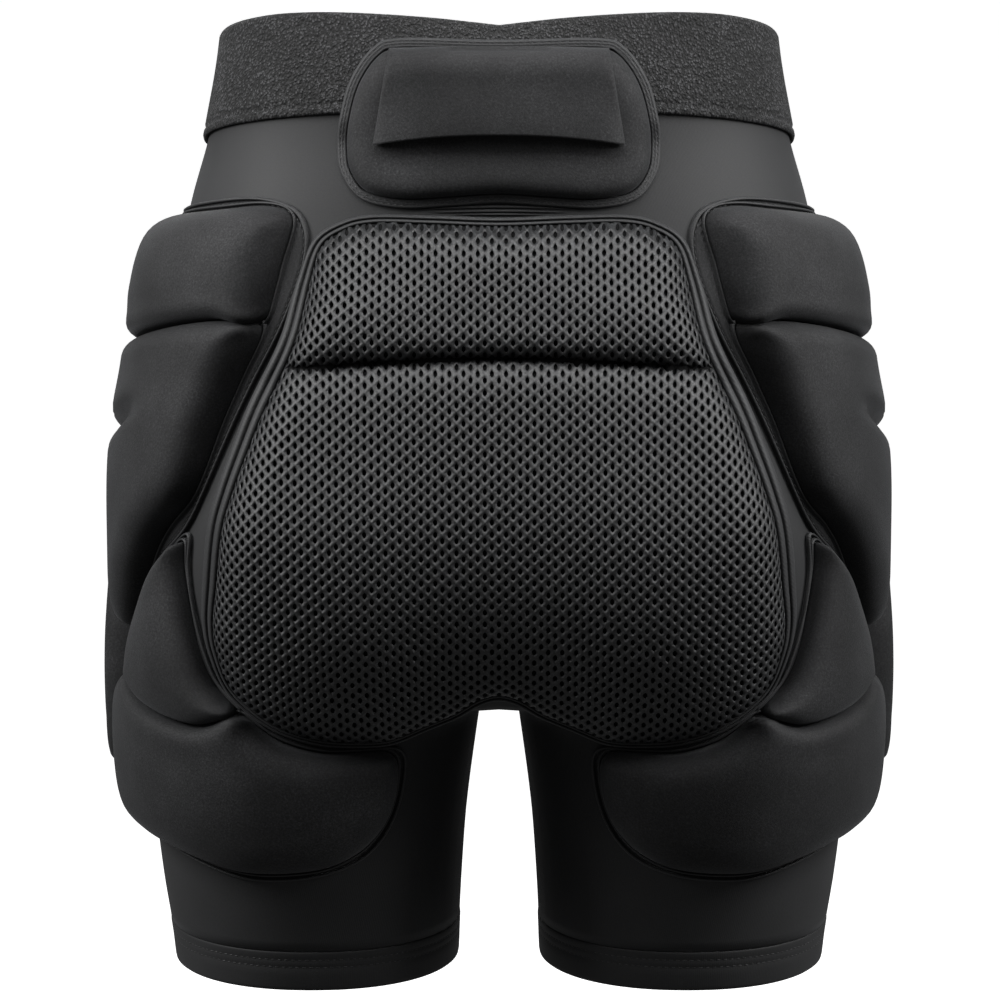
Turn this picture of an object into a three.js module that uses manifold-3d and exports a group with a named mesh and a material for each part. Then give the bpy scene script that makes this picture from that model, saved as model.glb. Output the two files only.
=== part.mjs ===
// Padded hip shorts, held open as worn: a hollow stretch shell with an elastic waistband, two hems
// and foam pads sewn on the lumbar, the seat, the hips, the rear thighs and the front thighs.
// The wearer's back faces -Y, the wearer's right side is +X, and z is zero at the waist's middle.
import * as THREE from 'three';
import { mergeVertices } from 'three/addons/utils/BufferGeometryUtils.js';
import Module from 'manifold-3d';

// Driving dimensions of the shell in millimetres
const RISE = 266; // waist's middle down to the crotch
const DROP = 390; // waist's middle down to the hems
const HIP_HALF = 156.5; // half the width across the hips
const HIP_BACK = 122; // depth of the seat behind the side seams
const HIP_FRONT = 99; // depth of the belly before the side seams
const LEG_CENTRE = 82; // centre line out to the middle of a leg
const LEG_HALF = 65.5; // half the width of a hem
const LEG_BACK = 78; // depth of a hem behind the leg's middle
const LEG_FRONT = 80; // depth of a hem before the leg's middle
const CLOTH = 2; // wall of the stretch cloth
const GAP = 0.3; // clearance between a piece and what it lies on
const SEAM_GAP = 0.6; // clearance between pieces sewn side by side
const FILLET = 12; // rounding where the legs leave the torso
const SEAT_FILLET = 50; // wider rounding that the seat pad spans

// Waistband and hems
const BAND_HEIGHT = 44; // height of the elastic
const BAND_WALL = 2.5; // thickness of the elastic
const BAND_LOW = 21; // lower edge of the elastic below the waist's middle, at the side
const BAND_TILT = 0.2; // drop of the lower edge for each millimetre towards the front
const BAND_LAP = 8; // cloth that runs up behind the elastic
const HEM_HEIGHT = 18; // folded edge of a leg
const HEM_WALL = 3; // thickness of the fold

// Pads
const SEAT_THICK = 17;
const SIDE_THICK = 20;
const THIGH_THICK = 18;
const FRONT_THICK = 25;
const LUMBAR_THICK = 11;
const FLAP_THICK = 2.2; // cloth flap on the lumbar pad
const FLAP_INSET = 5; // first grid line in from the flap's edge
const BORDER_WALL = 2.4; // smooth borders round the seat pad and the lumbar pad
const SEAT_BORDER = 6.5; // width of the seat pad's border
const LUMBAR_BORDER = 3.2; // width of the lumbar pad's border
const SEWN_EDGE = 4; // flat sewn edge of the other pads
const EDGE_WALL = 2; // thickness of that edge
const SHOULDER = 15; // width over which a pad rises from its edge
const CHANNEL_HALF = 6; // half the width of the channels moulded across the pads
const CHANNEL_DEPTH = 9;
const SUNK = 5; // how far a pad starts inside the shell before the shell is cut away

// Grid steps
const ARC_STEPS = 18; // round half the torso, back to front
const INNER_STEPS = 8; // along the inside of a leg
const TORSO_STEPS = 8;
const BRIDGE_STEPS = 2; // between the crotch seam and the first level row of a leg
const LEG_STEPS = 5;
const MIDDLE_STEPS = 4; // across the middle of a pad
const SEAT_STEPS = 5; // across the middle of the seat pad
const SHOULDER_STEPS = [1, 7]; // millimetres in from a pad's flat edge

const RADIAN = Math.PI / 180;
const CROTCH_ROW = 0.885; // lowest row of the torso, as a share of RISE
const FIRST_LEG_ROW = 1.05; // first level row of a leg, as a share of RISE
const TORSO_POWER = 2.3; // squareness of the torso's sections
const LEG_POWER = 2.15; // squareness of the legs' sections
const LEG_TOP = 0.315; // where the legs' form ends inside the torso, as a share of DROP
const AXIS_FROM = 0.22; // the turning axis leaves the centre line here, as a share of RISE
const AXIS_TO = 0.95; // and has reached the leg's middle here
const SHOULDER_POWER = 2.4; // fullness of a pad's shoulder
const ROUND_MIDDLE = 0.1; // share of a pad's half width over which its outline turns at the middle
const SEAT_WALL = 5; // height of the seat pad where it meets its border
const LUMBAR_WALL = 4; // height of the lumbar pad where it meets its border
const STEP_FROM = 7; // a pad starts to climb on to the waistband this far below its lower edge
const STEP_TO = 1; // and has climbed it this far below
const CREASE_FADE = 0.15; // share of a pad's width over which a crease fades
const CHANNEL_CLEAR = 1.6; // other rows stay this many half channels away from a channel
const LEAST_MIDDLE = 2.6; // width of a pad in steps of its last inset, below which the insets shrink
const SETTLE = 6; // passes until a height that leans with depth has settled
const HALVINGS = 40; // halvings of a search along a ray

function table(columns, rows) {
  return rows.map((row) => Object.fromEntries(columns.map((name, i) => [name, row[i]])));
}

// Torso sections: down is a share of RISE, half of HIP_HALF, back of HIP_BACK, front of HIP_FRONT
const TORSO = table(['down', 'half', 'back', 'front'], [
  [-0.2, 0.745, 0.64, 0.85],
  [-0.045, 0.785, 0.69, 0.89],
  [0.067, 0.82, 0.72, 0.92],
  [0.18, 0.874, 0.795, 0.96],
  [0.35, 0.934, 0.9, 0.99],
  [0.52, 0.972, 0.975, 1],
  [0.69, 0.978, 1, 0.99],
  [0.86, 0.945, 0.92, 0.92],
  [1, 0.86, 0.72, 0.74],
  [1.12, 0.76, 0.49, 0.5],
]);

// Leg sections: down is a share of DROP, centre of LEG_CENTRE, half of LEG_HALF,
// back of LEG_BACK, front of LEG_FRONT
const LEG = table(['down', 'centre', 'half', 'back', 'front'], [
  [0.303, 0.9, 1, 1.1, 1],
  [0.354, 0.915, 1.09, 1.22, 1.075],
  [0.469, 0.94, 1.17, 1.42, 1.1875],
  [0.585, 0.965, 1.18, 1.42, 1.1875],
  [0.7, 1.01, 1.14, 1.308, 1.1625],
  [0.815, 1.035, 1.08, 1.167, 1.1],
  [0.897, 1.03, 1.035, 1.077, 1.05],
  [0.982, 1.01, 0.985, 1, 1],
  [1.07, 1, 0.96, 0.936, 0.975],
]);

// Rim of the waistband above its lower edge: turn in degrees from the back, high a share of BAND_HEIGHT
const RIM = table(['turn', 'high'], [
  [0, 0.84],
  [28, 0.95],
  [60, 1.05],
  [95, 1.03],
  [135, 1],
  [180, 1],
]);

// Seat pad seen from behind, one half: edge is a share of HIP_HALF, and the heights at its middle,
// halfway out and at its edge are shares of RISE
const SEAT = table(['edge', 'first', 'halfway', 'last'], [
  [0.383, 0.188, 0.179, 0.182],
  [0.473, 0.218, 0.21, 0.207],
  [0.524, 0.248, 0.244, 0.237],
  [0.559, 0.308, 0.308, 0.305],
  [0.626, 0.397, 0.405, 0.419],
  [0.722, 0.519, 0.526, 0.54],
  [0.789, 0.639, 0.65, 0.662],
  [0.815, 0.759, 0.782, 0.797],
  [0.799, 0.85, 0.895, 0.887],
  [0.748, 0.91, 0.974, 0.949],
  [0.665, 0.962, 1.041, 0.994],
]);
const SEAT_CHANNEL = 4; // row of the table that the channel follows

// Lumbar pad seen from behind, one half: edge is a share of HIP_HALF, heights are shares of RISE
const LUMBAR = table(['edge', 'first', 'halfway', 'last'], [
  [0.27, -0.098, -0.1, -0.101],
  [0.345, -0.08, -0.083, -0.085],
  [0.406, -0.03, -0.032, -0.034],
  [0.436, 0.032, 0.032, 0.03],
  [0.442, 0.08, 0.079, 0.078],
  [0.43, 0.118, 0.118, 0.116],
  [0.377, 0.142, 0.152, 0.153],
  [0.285, 0.159, 0.166, 0.168],
]);

// Flap on the lumbar pad, one half
const FLAP = table(['edge', 'first', 'halfway', 'last'], [
  [0.298, -0.08, -0.079, -0.077],
  [0.315, -0.02, -0.016, -0.008],
  [0.345, 0.05, 0.055, 0.068],
]);

// Hip pad round the side: inner and outer edges in degrees from the back, heights as shares of RISE
const SIDE = table(['inner', 'outer', 'first', 'halfway', 'last'], [
  [51, 92, 0.161, 0.168, 0.199],
  [45.5, 101, 0.18, 0.196, 0.233],
  [43, 105, 0.226, 0.24, 0.274],
  [42.3, 108, 0.359, 0.387, 0.444],
  [43, 109, 0.462, 0.485, 0.53],
  [42.3, 109, 0.579, 0.602, 0.63],
  [44, 105, 0.69, 0.745, 0.72],
  [54, 92, 0.757, 0.905, 0.86],
]);
const SIDE_CHANNEL = 3;
const SIDE_CREASE = 4; // row followed by the crease that comes round from the front
const CREASE_START = 0.35; // where the crease fades, as a share of the pad's width

// Rear thigh pad: edges in degrees from the back, heights as shares of DROP
const THIGH = table(['inner', 'outer', 'first', 'halfway', 'last'], [
  [40, 46, 0.477, 0.473, 0.482],
  [38, 50, 0.513, 0.513, 0.518],
  [33, 56.5, 0.554, 0.556, 0.567],
  [27, 63, 0.6, 0.605, 0.61],
  [18, 68, 0.642, 0.65, 0.652],
  [6, 82, 0.672, 0.688, 0.672],
  [-16, 91, 0.713, 0.728, 0.708],
  [-24.5, 92, 0.756, 0.774, 0.756],
  [-22, 90, 0.8, 0.82, 0.795],
  [-11, 83, 0.846, 0.858, 0.82],
]);
const THIGH_CHANNEL = 5;

// Front thigh pad: edges in degrees from the back, heights as shares of DROP
const FRONT = table(['inner', 'outer', 'first', 'halfway', 'last'], [
  [105, 132, 0.52, 0.515, 0.52],
  [99.5, 141, 0.553, 0.548, 0.55],
  [95.8, 146, 0.6, 0.6, 0.6],
  [94.5, 148, 0.66, 0.66, 0.66],
  [95.3, 147.5, 0.735, 0.737, 0.735],
  [97, 143, 0.775, 0.782, 0.778],
  [102, 134, 0.8, 0.812, 0.8],
]);

// Smooth curve through a column of a table at one place along another column
function smooth(rows, by, column, place) {
  const last = rows.length - 1;
  const at = Math.min(Math.max(place, rows[0][by]), rows[last][by]);
  let i = 0;
  while (i < last - 1 && rows[i + 1][by] < at) i += 1;
  const slope = (k) => {
    const before = rows[Math.max(k - 1, 0)];
    const after = rows[Math.min(k + 1, last)];
    return (after[column] - before[column]) / (after[by] - before[by]);
  };
  const step = rows[i + 1][by] - rows[i][by];
  const t = (at - rows[i][by]) / step;
  const rest = 1 - t;
  return rest * rest * ((1 + 2 * t) * rows[i][column] + t * step * slope(i))
    + t * t * ((3 - 2 * t) * rows[i + 1][column] - rest * step * slope(i + 1));
}

function section(x, y, half, back, front, power) {
  const deep = y < 0 ? back : front;
  const size = (Math.abs(x / half) ** power + Math.abs(y / deep) ** power) ** (1 / power);
  const radius = Math.hypot(x, y);
  return radius - radius / Math.max(size, 1e-6);
}

function blend(a, b, width) {
  const h = Math.min(Math.max(0.5 + (0.5 * (b - a)) / width, 0), 1);
  return b * (1 - h) + a * h - width * h * (1 - h);
}

function torsoForm(x, y, z) {
  const down = -z / RISE;
  const half = smooth(TORSO, 'down', 'half', down) * HIP_HALF;
  const back = smooth(TORSO, 'down', 'back', down) * HIP_BACK;
  const front = smooth(TORSO, 'down', 'front', down) * HIP_FRONT;
  return -blend(-section(x, y, half, back, front, TORSO_POWER), RISE + z, 2 * FILLET);
}

function legForm(x, y, z) {
  const down = -z / DROP;
  const centre = smooth(LEG, 'down', 'centre', down) * LEG_CENTRE;
  const half = smooth(LEG, 'down', 'half', down) * LEG_HALF;
  const back = smooth(LEG, 'down', 'back', down) * LEG_BACK;
  const front = smooth(LEG, 'down', 'front', down) * LEG_FRONT;
  const round = section(x - centre, y, half, back, front, LEG_POWER);
  return -blend(-round, -z - LEG_TOP * DROP, FILLET);
}

// Distance-like form of the whole body: zero on the cloth's outer face, positive outside
function body(x, y, z, fillet = FILLET) {
  const legs = blend(legForm(x, y, z), legForm(-x, y, z), fillet);
  return blend(torsoForm(x, y, z), legs, fillet);
}

function outward(p) {
  const h = 0.5;
  return new THREE.Vector3(
    body(p.x + h, p.y, p.z) - body(p.x - h, p.y, p.z),
    body(p.x, p.y + h, p.z) - body(p.x, p.y - h, p.z),
    body(p.x, p.y, p.z + h) - body(p.x, p.y, p.z - h),
  ).normalize();
}

// Axis that the side rows turn about: the centre line at the waist, a leg's middle at the crotch
function axisAt(z) {
  return LEG_CENTRE * THREE.MathUtils.smoothstep(-z, AXIS_FROM * RISE, AXIS_TO * RISE);
}

// Point where a level ray from inside leaves the form by the given lift, short of the centre plane
function reach(x, y, z, dx, dy, lift, fillet) {
  let near = 0;
  let far = dx < 0 ? Math.min(x / -dx, 2 * HIP_HALF) : 2 * HIP_HALF;
  for (let i = 0; i < HALVINGS; i += 1) {
    const mid = (near + far) / 2;
    if (body(x + dx * mid, y + dy * mid, z, fillet) < lift) near = mid;
    else far = mid;
  }
  return new THREE.Vector3(x + dx * near, y + dy * near, z);
}

function around(turn, z, lift) {
  return reach(axisAt(z), 0, z, Math.sin(turn * RADIAN), -Math.cos(turn * RADIAN), lift, FILLET);
}

function behind(x, z, lift) {
  return reach(x, 0, z, 0, -1, lift, SEAT_FILLET);
}

// Solids from triangles
const wasm = await Module();
wasm.setup();

function solidOf(triangles) {
  const flat = new Float32Array(triangles.flat().flatMap((p) => [p.x, p.y, p.z]));
  const loose = new THREE.BufferGeometry();
  loose.setAttribute('position', new THREE.BufferAttribute(flat, 3));
  const welded = mergeVertices(loose, 1e-3);
  const index = [];
  for (let i = 0; i < welded.index.count; i += 3) {
    const [a, b, c] = [0, 1, 2].map((k) => welded.index.getX(i + k));
    if (a !== b && b !== c && c !== a) index.push(a, b, c);
  }
  return new wasm.Manifold(new wasm.Mesh({
    numProp: 3,
    vertProperties: welded.attributes.position.array,
    triVerts: new Uint32Array(index),
  }));
}

function geometryOf(solid) {
  const mesh = solid.getMesh();
  const geometry = new THREE.BufferGeometry();
  geometry.setAttribute('position', new THREE.BufferAttribute(mesh.vertProperties, 3));
  geometry.setIndex(new THREE.BufferAttribute(mesh.triVerts, 1));
  geometry.computeVertexNormals();
  return geometry;
}

// Triangles of a grid of points, seen from outside with rows going down and columns to the right
function sheet(rows) {
  const triangles = [];
  for (let j = 0; j + 1 < rows.length; j += 1) {
    for (let i = 0; i + 1 < rows[j].length; i += 1) {
      const [a, b, c, d] = [rows[j][i], rows[j + 1][i], rows[j + 1][i + 1], rows[j][i + 1]];
      triangles.push([a, b, c], [a, c, d]);
    }
  }
  return triangles;
}

const flipped = (triangles) => triangles.map(([a, b, c]) => [a, c, b]);
const mirrorPoint = (p) => new THREE.Vector3(-p.x, p.y, p.z);
const mirrored = (triangles) => flipped(triangles).map((three) => three.map(mirrorPoint));
const mirroredSolid = (solid) => solid.mirror([1, 0, 0]);

function steps(from, to, count) {
  return Array.from({ length: count + 1 }, (_, i) => from + ((to - from) * i) / count);
}

// Heights of the waistband's edges where the torso is at depth y
const bandLowAt = (y) => -BAND_LOW - BAND_TILT * y;
const rimAt = (y, turn) => bandLowAt(y) + BAND_HEIGHT * smooth(RIM, 'turn', 'high', turn);

function onBand(turn, height, lift) {
  let p = around(turn, 0, lift);
  for (let i = 0; i < SETTLE; i += 1) p = around(turn, height(p.y, turn), lift);
  return p;
}

// Torso rows of one half: both ends lie on the centre plane, the rest turn about the axis
function torsoRow(height) {
  const back = reach(0, 0, height(-HIP_BACK), 0, -1, 0, FILLET);
  const front = reach(0, 0, height(HIP_FRONT), 0, 1, 0, FILLET);
  const centre = axisAt(height(0));
  const from = Math.atan2(-centre, -back.y) / RADIAN;
  const to = 180 + Math.atan2(centre, front.y) / RADIAN;
  return steps(from, to, ARC_STEPS).map((turn, i) => {
    if (i === 0) return reach(0, 0, height(back.y), 0, -1, 0, FILLET);
    if (i === ARC_STEPS) return reach(0, 0, height(front.y), 0, 1, 0, FILLET);
    let p = around(turn, height(0), 0);
    for (let k = 0; k < SETTLE; k += 1) p = around(turn, height(p.y), 0);
    return p;
  });
}

// Crotch curve on the centre plane, from the front down and round to the back
function crotchRow(front, back) {
  const middle = (front.y + back.y) / 2;
  return steps(0, 180, INNER_STEPS).slice(1, -1).map((turn) => {
    const dy = Math.cos(turn * RADIAN) * (front.y - middle);
    const dz = -Math.sin(turn * RADIAN) * (RISE * (1 - CROTCH_ROW));
    let near = 0;
    let far = 3;
    for (let i = 0; i < HALVINGS; i += 1) {
      const mid = (near + far) / 2;
      if (body(0, middle + dy * mid, front.z + dz * mid) < 0) near = mid;
      else far = mid;
    }
    return new THREE.Vector3(0, middle + dy * near, front.z + dz * near);
  });
}

// Rows of one half of the shell's outer face: open torso rows, then closed leg rows
function shellRows() {
  const topHeight = (y) => bandLowAt(y) + BAND_LAP;
  const torso = steps(0, 1, TORSO_STEPS).map((t) =>
    torsoRow((y) => topHeight(y) * (1 - t) - CROTCH_ROW * RISE * t));
  const last = torso[TORSO_STEPS];
  const crotch = crotchRow(last[ARC_STEPS], last[0]);
  const seam = [...last, ...crotch, last[0]];
  const turns = seam.map((p) => Math.atan2(p.x - axisAt(p.z), -p.y) / RADIAN);
  const hem = -DROP + HEM_HEIGHT + GAP;
  const level = -FIRST_LEG_ROW * RISE;
  const bridge = steps(0, 1, BRIDGE_STEPS).slice(1).map((t) =>
    seam.map((p, i) => around(turns[i], p.z * (1 - t) + level * t, 0)));
  const leg = steps(level, hem, LEG_STEPS).slice(1).map((z) =>
    turns.map((turn) => around(turn, z, 0)));
  return { torso, legs: [seam, ...bridge, ...leg] };
}

function lifted(rows, lift) {
  return rows.map((row) => row.map((p) => {
    const n = outward(p);
    if (Math.abs(p.x) < 1e-6) n.x = 0;
    return p.clone().addScaledVector(n.normalize(), lift);
  }));
}

const SHELL_ROWS = shellRows();

// Level ends keep their height when a row is lifted
function shellFace(lift) {
  const torso = lifted(SHELL_ROWS.torso, lift);
  const legs = lifted(SHELL_ROWS.legs, lift);
  const low = SHELL_ROWS.legs.length - 1;
  torso[0].forEach((p, i) => { p.z = SHELL_ROWS.torso[0][i].z; });
  legs[low].forEach((p, i) => { p.z = SHELL_ROWS.legs[low][i].z; });
  return { torso, legs };
}

function shellSolid() {
  const outer = shellFace(0);
  const inner = shellFace(-CLOTH);
  const low = outer.legs.length - 1;
  const half = [
    ...sheet(outer.torso),
    ...sheet(outer.legs),
    ...flipped(sheet(inner.torso)),
    ...flipped(sheet(inner.legs)),
    ...sheet([inner.torso[0], outer.torso[0]]),
    ...sheet([outer.legs[low], inner.legs[low]]),
  ];
  return solidOf([...half, ...mirrored(half)]);
}

// The filled body, swollen by a clearance, that cuts the underside of whatever lies on the shell
function bodyCutter(lift) {
  const face = shellFace(lift);
  const top = lifted([torsoRow((y) => bandLowAt(y) + 2 * BAND_HEIGHT)], lift)[0];
  const low = face.legs.length - 1;
  const floor = face.legs[low].map((p) => new THREE.Vector3(p.x, p.y, -DROP - HEM_HEIGHT));
  const crown = new THREE.Vector3(0, 0, bandLowAt(0) + 2 * BAND_HEIGHT);
  const sole = new THREE.Vector3(axisAt(-DROP), 0, -DROP - HEM_HEIGHT);
  const half = [
    ...sheet([top, ...face.torso]),
    ...sheet([...face.legs, floor]),
    ...sheet([top.map(() => crown), top]),
    ...sheet([floor, floor.map(() => sole)]),
  ];
  return solidOf([...half, ...mirrored(half)]);
}

// Closed ring from four corner loops: outer top, outer bottom, inner bottom, inner top
function ringSolid(loops) {
  const closed = loops.map((loop) => [...loop, loop[0]]);
  return solidOf(sheet([...closed, closed[0]]));
}

function bandSolid(grow) {
  const inner = GAP - grow;
  const outer = GAP + BAND_WALL + grow;
  const low = (y) => bandLowAt(y) - grow;
  const high = (y, turn) => rimAt(y, turn) + grow;
  const half = steps(0, 180, ARC_STEPS);
  const turns = [...half, ...half.slice(1, -1).reverse().map((turn) => -turn)];
  const loop = (height, lift) => turns.map((turn) => onBand(Math.abs(turn), height, lift)
    .multiply(new THREE.Vector3(turn < 0 ? -1 : 1, 1, 1)));
  const middle = (y, turn) => (low(y) + high(y, turn)) / 2;
  return ringSolid([
    loop(high, outer),
    loop(middle, outer),
    loop(low, outer),
    loop(low, inner),
    loop(middle, inner),
    loop(high, inner),
  ]);
}

function hemSolid() {
  const turns = steps(0, 360, ARC_STEPS + INNER_STEPS).slice(0, -1);
  const outer = (HEM_WALL - CLOTH) / 2;
  const loop = (z, lift) => turns.map((turn) => around(turn, z, lift));
  const high = -DROP + HEM_HEIGHT;
  return ringSolid([
    loop(high, outer),
    loop(-DROP, outer),
    loop(-DROP, outer - HEM_WALL),
    loop(high, outer - HEM_WALL),
  ]);
}

// Pad patches. A patch places s across and t down on a chart of the body, in millimetres of arc
function quadratic(row, s) {
  const rise = -3 * row.first + 4 * row.halfway - row.last;
  const bend = 2 * row.first - 4 * row.halfway + 2 * row.last;
  return row.first + s * rise + s * s * bend;
}

function rowsAt(rows, t) {
  const numbered = rows.map((row, i) => ({ ...row, number: i }));
  const place = t * (rows.length - 1);
  const names = Object.keys(rows[0]);
  return Object.fromEntries(names.map((name) => [name, smooth(numbered, 'number', name, place)]));
}

const seenFromBehind = (rows) => ({
  rows,
  point: behind,
  scale: 1,
  place(s, t) {
    const row = rowsAt(rows, t);
    const side = 2 * s - 1;
    const bow = Math.hypot(side, ROUND_MIDDLE) - ROUND_MIDDLE;
    return { u: side * row.edge * HIP_HALF, z: -quadratic(row, Math.min(bow, 1)) * RISE };
  },
});

const turnedRound = (rows, length) => ({
  rows,
  point: around,
  scale: HIP_HALF * RADIAN,
  place(s, t) {
    const row = rowsAt(rows, t);
    return { u: row.inner + (row.outer - row.inner) * s, z: -quadratic(row, s) * length };
  },
});

function apart(patch, a, b) {
  return Math.hypot((a.u - b.u) * patch.scale, a.z - b.z);
}

// Places from 0 to 1 along a length: the given distances from both ends, then even steps between
function spread(length, insets, middle) {
  const squeeze = Math.min(1, length / (LEAST_MIDDLE * insets[insets.length - 1] + 1e-6));
  const near = insets.map((d) => (d * squeeze) / length);
  const last = near[near.length - 1];
  const between = steps(last, 1 - last, middle).slice(1, -1);
  return [...near, ...between, ...near.map((d) => 1 - d).reverse()];
}

// Rows down a patch, with three of them kept for each channel so that the grid follows it
function rowPlaces(patch, height, insets, middle, channels) {
  const even = spread(height, insets, middle + 2);
  const half = CHANNEL_HALF / height;
  const pressed = channels.map((channel) => channel.row / (patch.rows.length - 1));
  const clear = even.filter((t) => pressed.every((c) => Math.abs(t - c) > CHANNEL_CLEAR * half));
  return [...clear, ...pressed.flatMap((c) => [c - half, c, c + half])].sort((a, b) => a - b);
}

function patchGrid(patch, insets, middle, channels = []) {
  const height = apart(patch, patch.place(0.5, 0), patch.place(0.5, 1));
  return rowPlaces(patch, height, insets, middle, channels).map((t) => {
    const width = apart(patch, patch.place(0, t), patch.place(1, t));
    const beyond = (t - Math.min(Math.max(t, 0), 1)) * height;
    return spread(width, insets, middle).map((s) => {
      const { u, z } = patch.place(s, t);
      return { u, z: z - beyond, s, t };
    });
  });
}

function edgeOf(grid) {
  const last = grid.length - 1;
  const right = grid.slice(1, -1).map((row) => row[row.length - 1]);
  const left = grid.slice(1, -1).map((row) => row[0]).reverse();
  return [...grid[0], ...right, ...[...grid[last]].reverse(), ...left];
}

function edgeDistance(patch, grid, place) {
  return Math.min(...edgeOf(grid).map((edge, i, all) => {
    const next = all[(i + 1) % all.length];
    const ex = (next.u - edge.u) * patch.scale;
    const ez = next.z - edge.z;
    const px = (place.u - edge.u) * patch.scale;
    const pz = place.z - edge.z;
    const k = Math.min(Math.max((px * ex + pz * ez) / (ex * ex + ez * ez + 1e-9), 0), 1);
    return Math.hypot(px - k * ex, pz - k * ez);
  }));
}

// What lies on the waistband steps up over its lower edge
function bandStep(patch, place) {
  const low = bandLowAt(patch.point(place.u, place.z, 0).y);
  return (GAP + BAND_WALL) * THREE.MathUtils.smoothstep(place.z, low - STEP_FROM, low - STEP_TO);
}

// Height of a pad over the cloth: a flat sewn edge, a round shoulder, then channels pressed in
function padHeight(patch, grid, place, style) {
  const inside = edgeDistance(patch, grid, place) - style.flat;
  const base = bandStep(patch, place);
  if (inside <= 0) return base + style.wall;
  const far = 1 - Math.min(inside / SHOULDER, 1);
  const full = style.wall + (style.thick - style.wall) * Math.sqrt(1 - far ** SHOULDER_POWER);
  const pressed = style.channels.map((channel) => {
    const along = patch.place(place.s, channel.row / (patch.rows.length - 1));
    const off = Math.abs(place.z - along.z) / CHANNEL_HALF;
    const from = channel.from - CREASE_FADE;
    const fade = THREE.MathUtils.smoothstep(place.s, from, from + 2 * CREASE_FADE);
    return CHANNEL_DEPTH * fade * Math.max(0, 1 - off * off);
  });
  return base + Math.max(full - Math.max(0, ...pressed), style.wall);
}

// Solid of a grid of places: the top at its heights, the bottom inside the body, and walls between
function liftedSolid(patch, grid, height, depth = SUNK) {
  const at = (place, lift) => patch.point(place.u, place.z, lift);
  const top = grid.map((row) => row.map((place) => at(place, height(place))));
  const bottom = grid.map((row) => row.map((place) => at(place, -depth)));
  const edge = edgeOf(grid);
  const upper = edge.map((place) => at(place, height(place)));
  const lower = edge.map((place) => at(place, -depth));
  const wall = sheet([[...lower, lower[0]], [...upper, upper[0]]]);
  return solidOf([...sheet(top), ...flipped(sheet(bottom)), ...wall]);
}

function padGrid(patch, style, inset) {
  const insets = [inset, ...SHOULDER_STEPS.map((d) => inset + style.flat + d)];
  if (style.flat > 0) insets.splice(1, 0, inset + style.flat);
  return patchGrid(patch, insets, style.middle ?? MIDDLE_STEPS, style.channels);
}

function padSolid(patch, style, inset = 0, grow = 0) {
  const grid = padGrid(patch, style, inset);
  return liftedSolid(patch, grid, (place) => padHeight(patch, grid, place, style) + grow);
}

// Tall block over a pad, a seam's clearance wider, that cuts away what would lie under or in it
function blockSolid(patch, style, inset = 0) {
  return liftedSolid(patch, padGrid(patch, style, inset - SEAM_GAP), () => 2 * SIDE_THICK, 2 * SUNK);
}

// Border between a patch's outline and the pad that stands inside it, cut a clearance off the pad
function borderSolid(patch, style, width) {
  const outer = edgeOf(padGrid(patch, style, 0));
  const inner = edgeOf(padGrid(patch, style, width + BORDER_WALL));
  const high = (share) => (place) => bandStep(patch, place) + BORDER_WALL * share;
  const loop = (places, lift) => places.map((place) => patch.point(place.u, place.z, lift(place)));
  const sunk = () => -SUNK;
  const ring = ringSolid([
    loop(outer, sunk),
    loop(outer, high(0.8)),
    loop(inner, high(1)),
    loop(inner, sunk),
  ]);
  return ring.subtract(blockSolid(patch, style, width + GAP));
}

const under = bodyCutter(GAP);
const bandCutter = bandSolid(GAP);
const seat = seenFromBehind(SEAT);
const lumbar = seenFromBehind(LUMBAR);
const flap = seenFromBehind(FLAP);
const side = turnedRound(SIDE, RISE);
const thigh = turnedRound(THIGH, DROP);
const front = turnedRound(FRONT, DROP);

const channel = (row, from = -1) => ({ row, from });
const STYLES = {
  seat: {
    thick: SEAT_THICK,
    flat: 0,
    wall: SEAT_WALL,
    channels: [channel(SEAT_CHANNEL)],
    middle: SEAT_STEPS,
  },
  lumbar: { thick: LUMBAR_THICK, flat: 0, wall: LUMBAR_WALL, channels: [] },
  side: {
    thick: SIDE_THICK,
    flat: SEWN_EDGE,
    wall: EDGE_WALL,
    channels: [channel(SIDE_CHANNEL), channel(SIDE_CREASE, CREASE_START)],
  },
  thigh: {
    thick: THIGH_THICK,
    flat: SEWN_EDGE,
    wall: EDGE_WALL,
    channels: [channel(THIGH_CHANNEL)],
  },
  front: { thick: FRONT_THICK, flat: SEWN_EDGE, wall: EDGE_WALL, channels: [] },
};

const lumbarInset = LUMBAR_BORDER + GAP;
const seatInset = SEAT_BORDER + GAP;
const overLumbar = padSolid(lumbar, STYLES.lumbar, lumbarInset, GAP);
const flapGrid = patchGrid(flap, [0, FLAP_INSET], MIDDLE_STEPS);
const lumbarGrid = patchGrid(lumbar, [lumbarInset], MIDDLE_STEPS);
const flapTop = (place) => padHeight(lumbar, lumbarGrid, place, STYLES.lumbar) + GAP + FLAP_THICK;

const seatBlock = blockSolid(seat, STYLES.seat);
const thighBlock = blockSolid(thigh, STYLES.thigh);
const sideBlock = blockSolid(side, STYLES.side);
const thighPad = padSolid(thigh, STYLES.thigh).subtract(under).subtract(seatBlock);
const sidePad = padSolid(side, STYLES.side).subtract(under).subtract(seatBlock).subtract(thighBlock);
const frontPad = padSolid(front, STYLES.front).subtract(under).subtract(thighBlock).subtract(sideBlock);
const hem = hemSolid();
const clearOfBand = (solid) => solid.subtract(under).subtract(bandCutter);
const lumbarBorder = clearOfBand(borderSolid(lumbar, STYLES.lumbar, LUMBAR_BORDER));
const lumbarPad = clearOfBand(padSolid(lumbar, STYLES.lumbar, lumbarInset));
const lumbarFlap = liftedSolid(flap, flapGrid, flapTop).subtract(overLumbar).subtract(under);

const COLOURS = {
  shell: 0x2b2c2f,
  band: 0x202124,
  pad: 0x1d1e20,
  seat: 0x17181a,
  border: 0x26272a,
};

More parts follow.
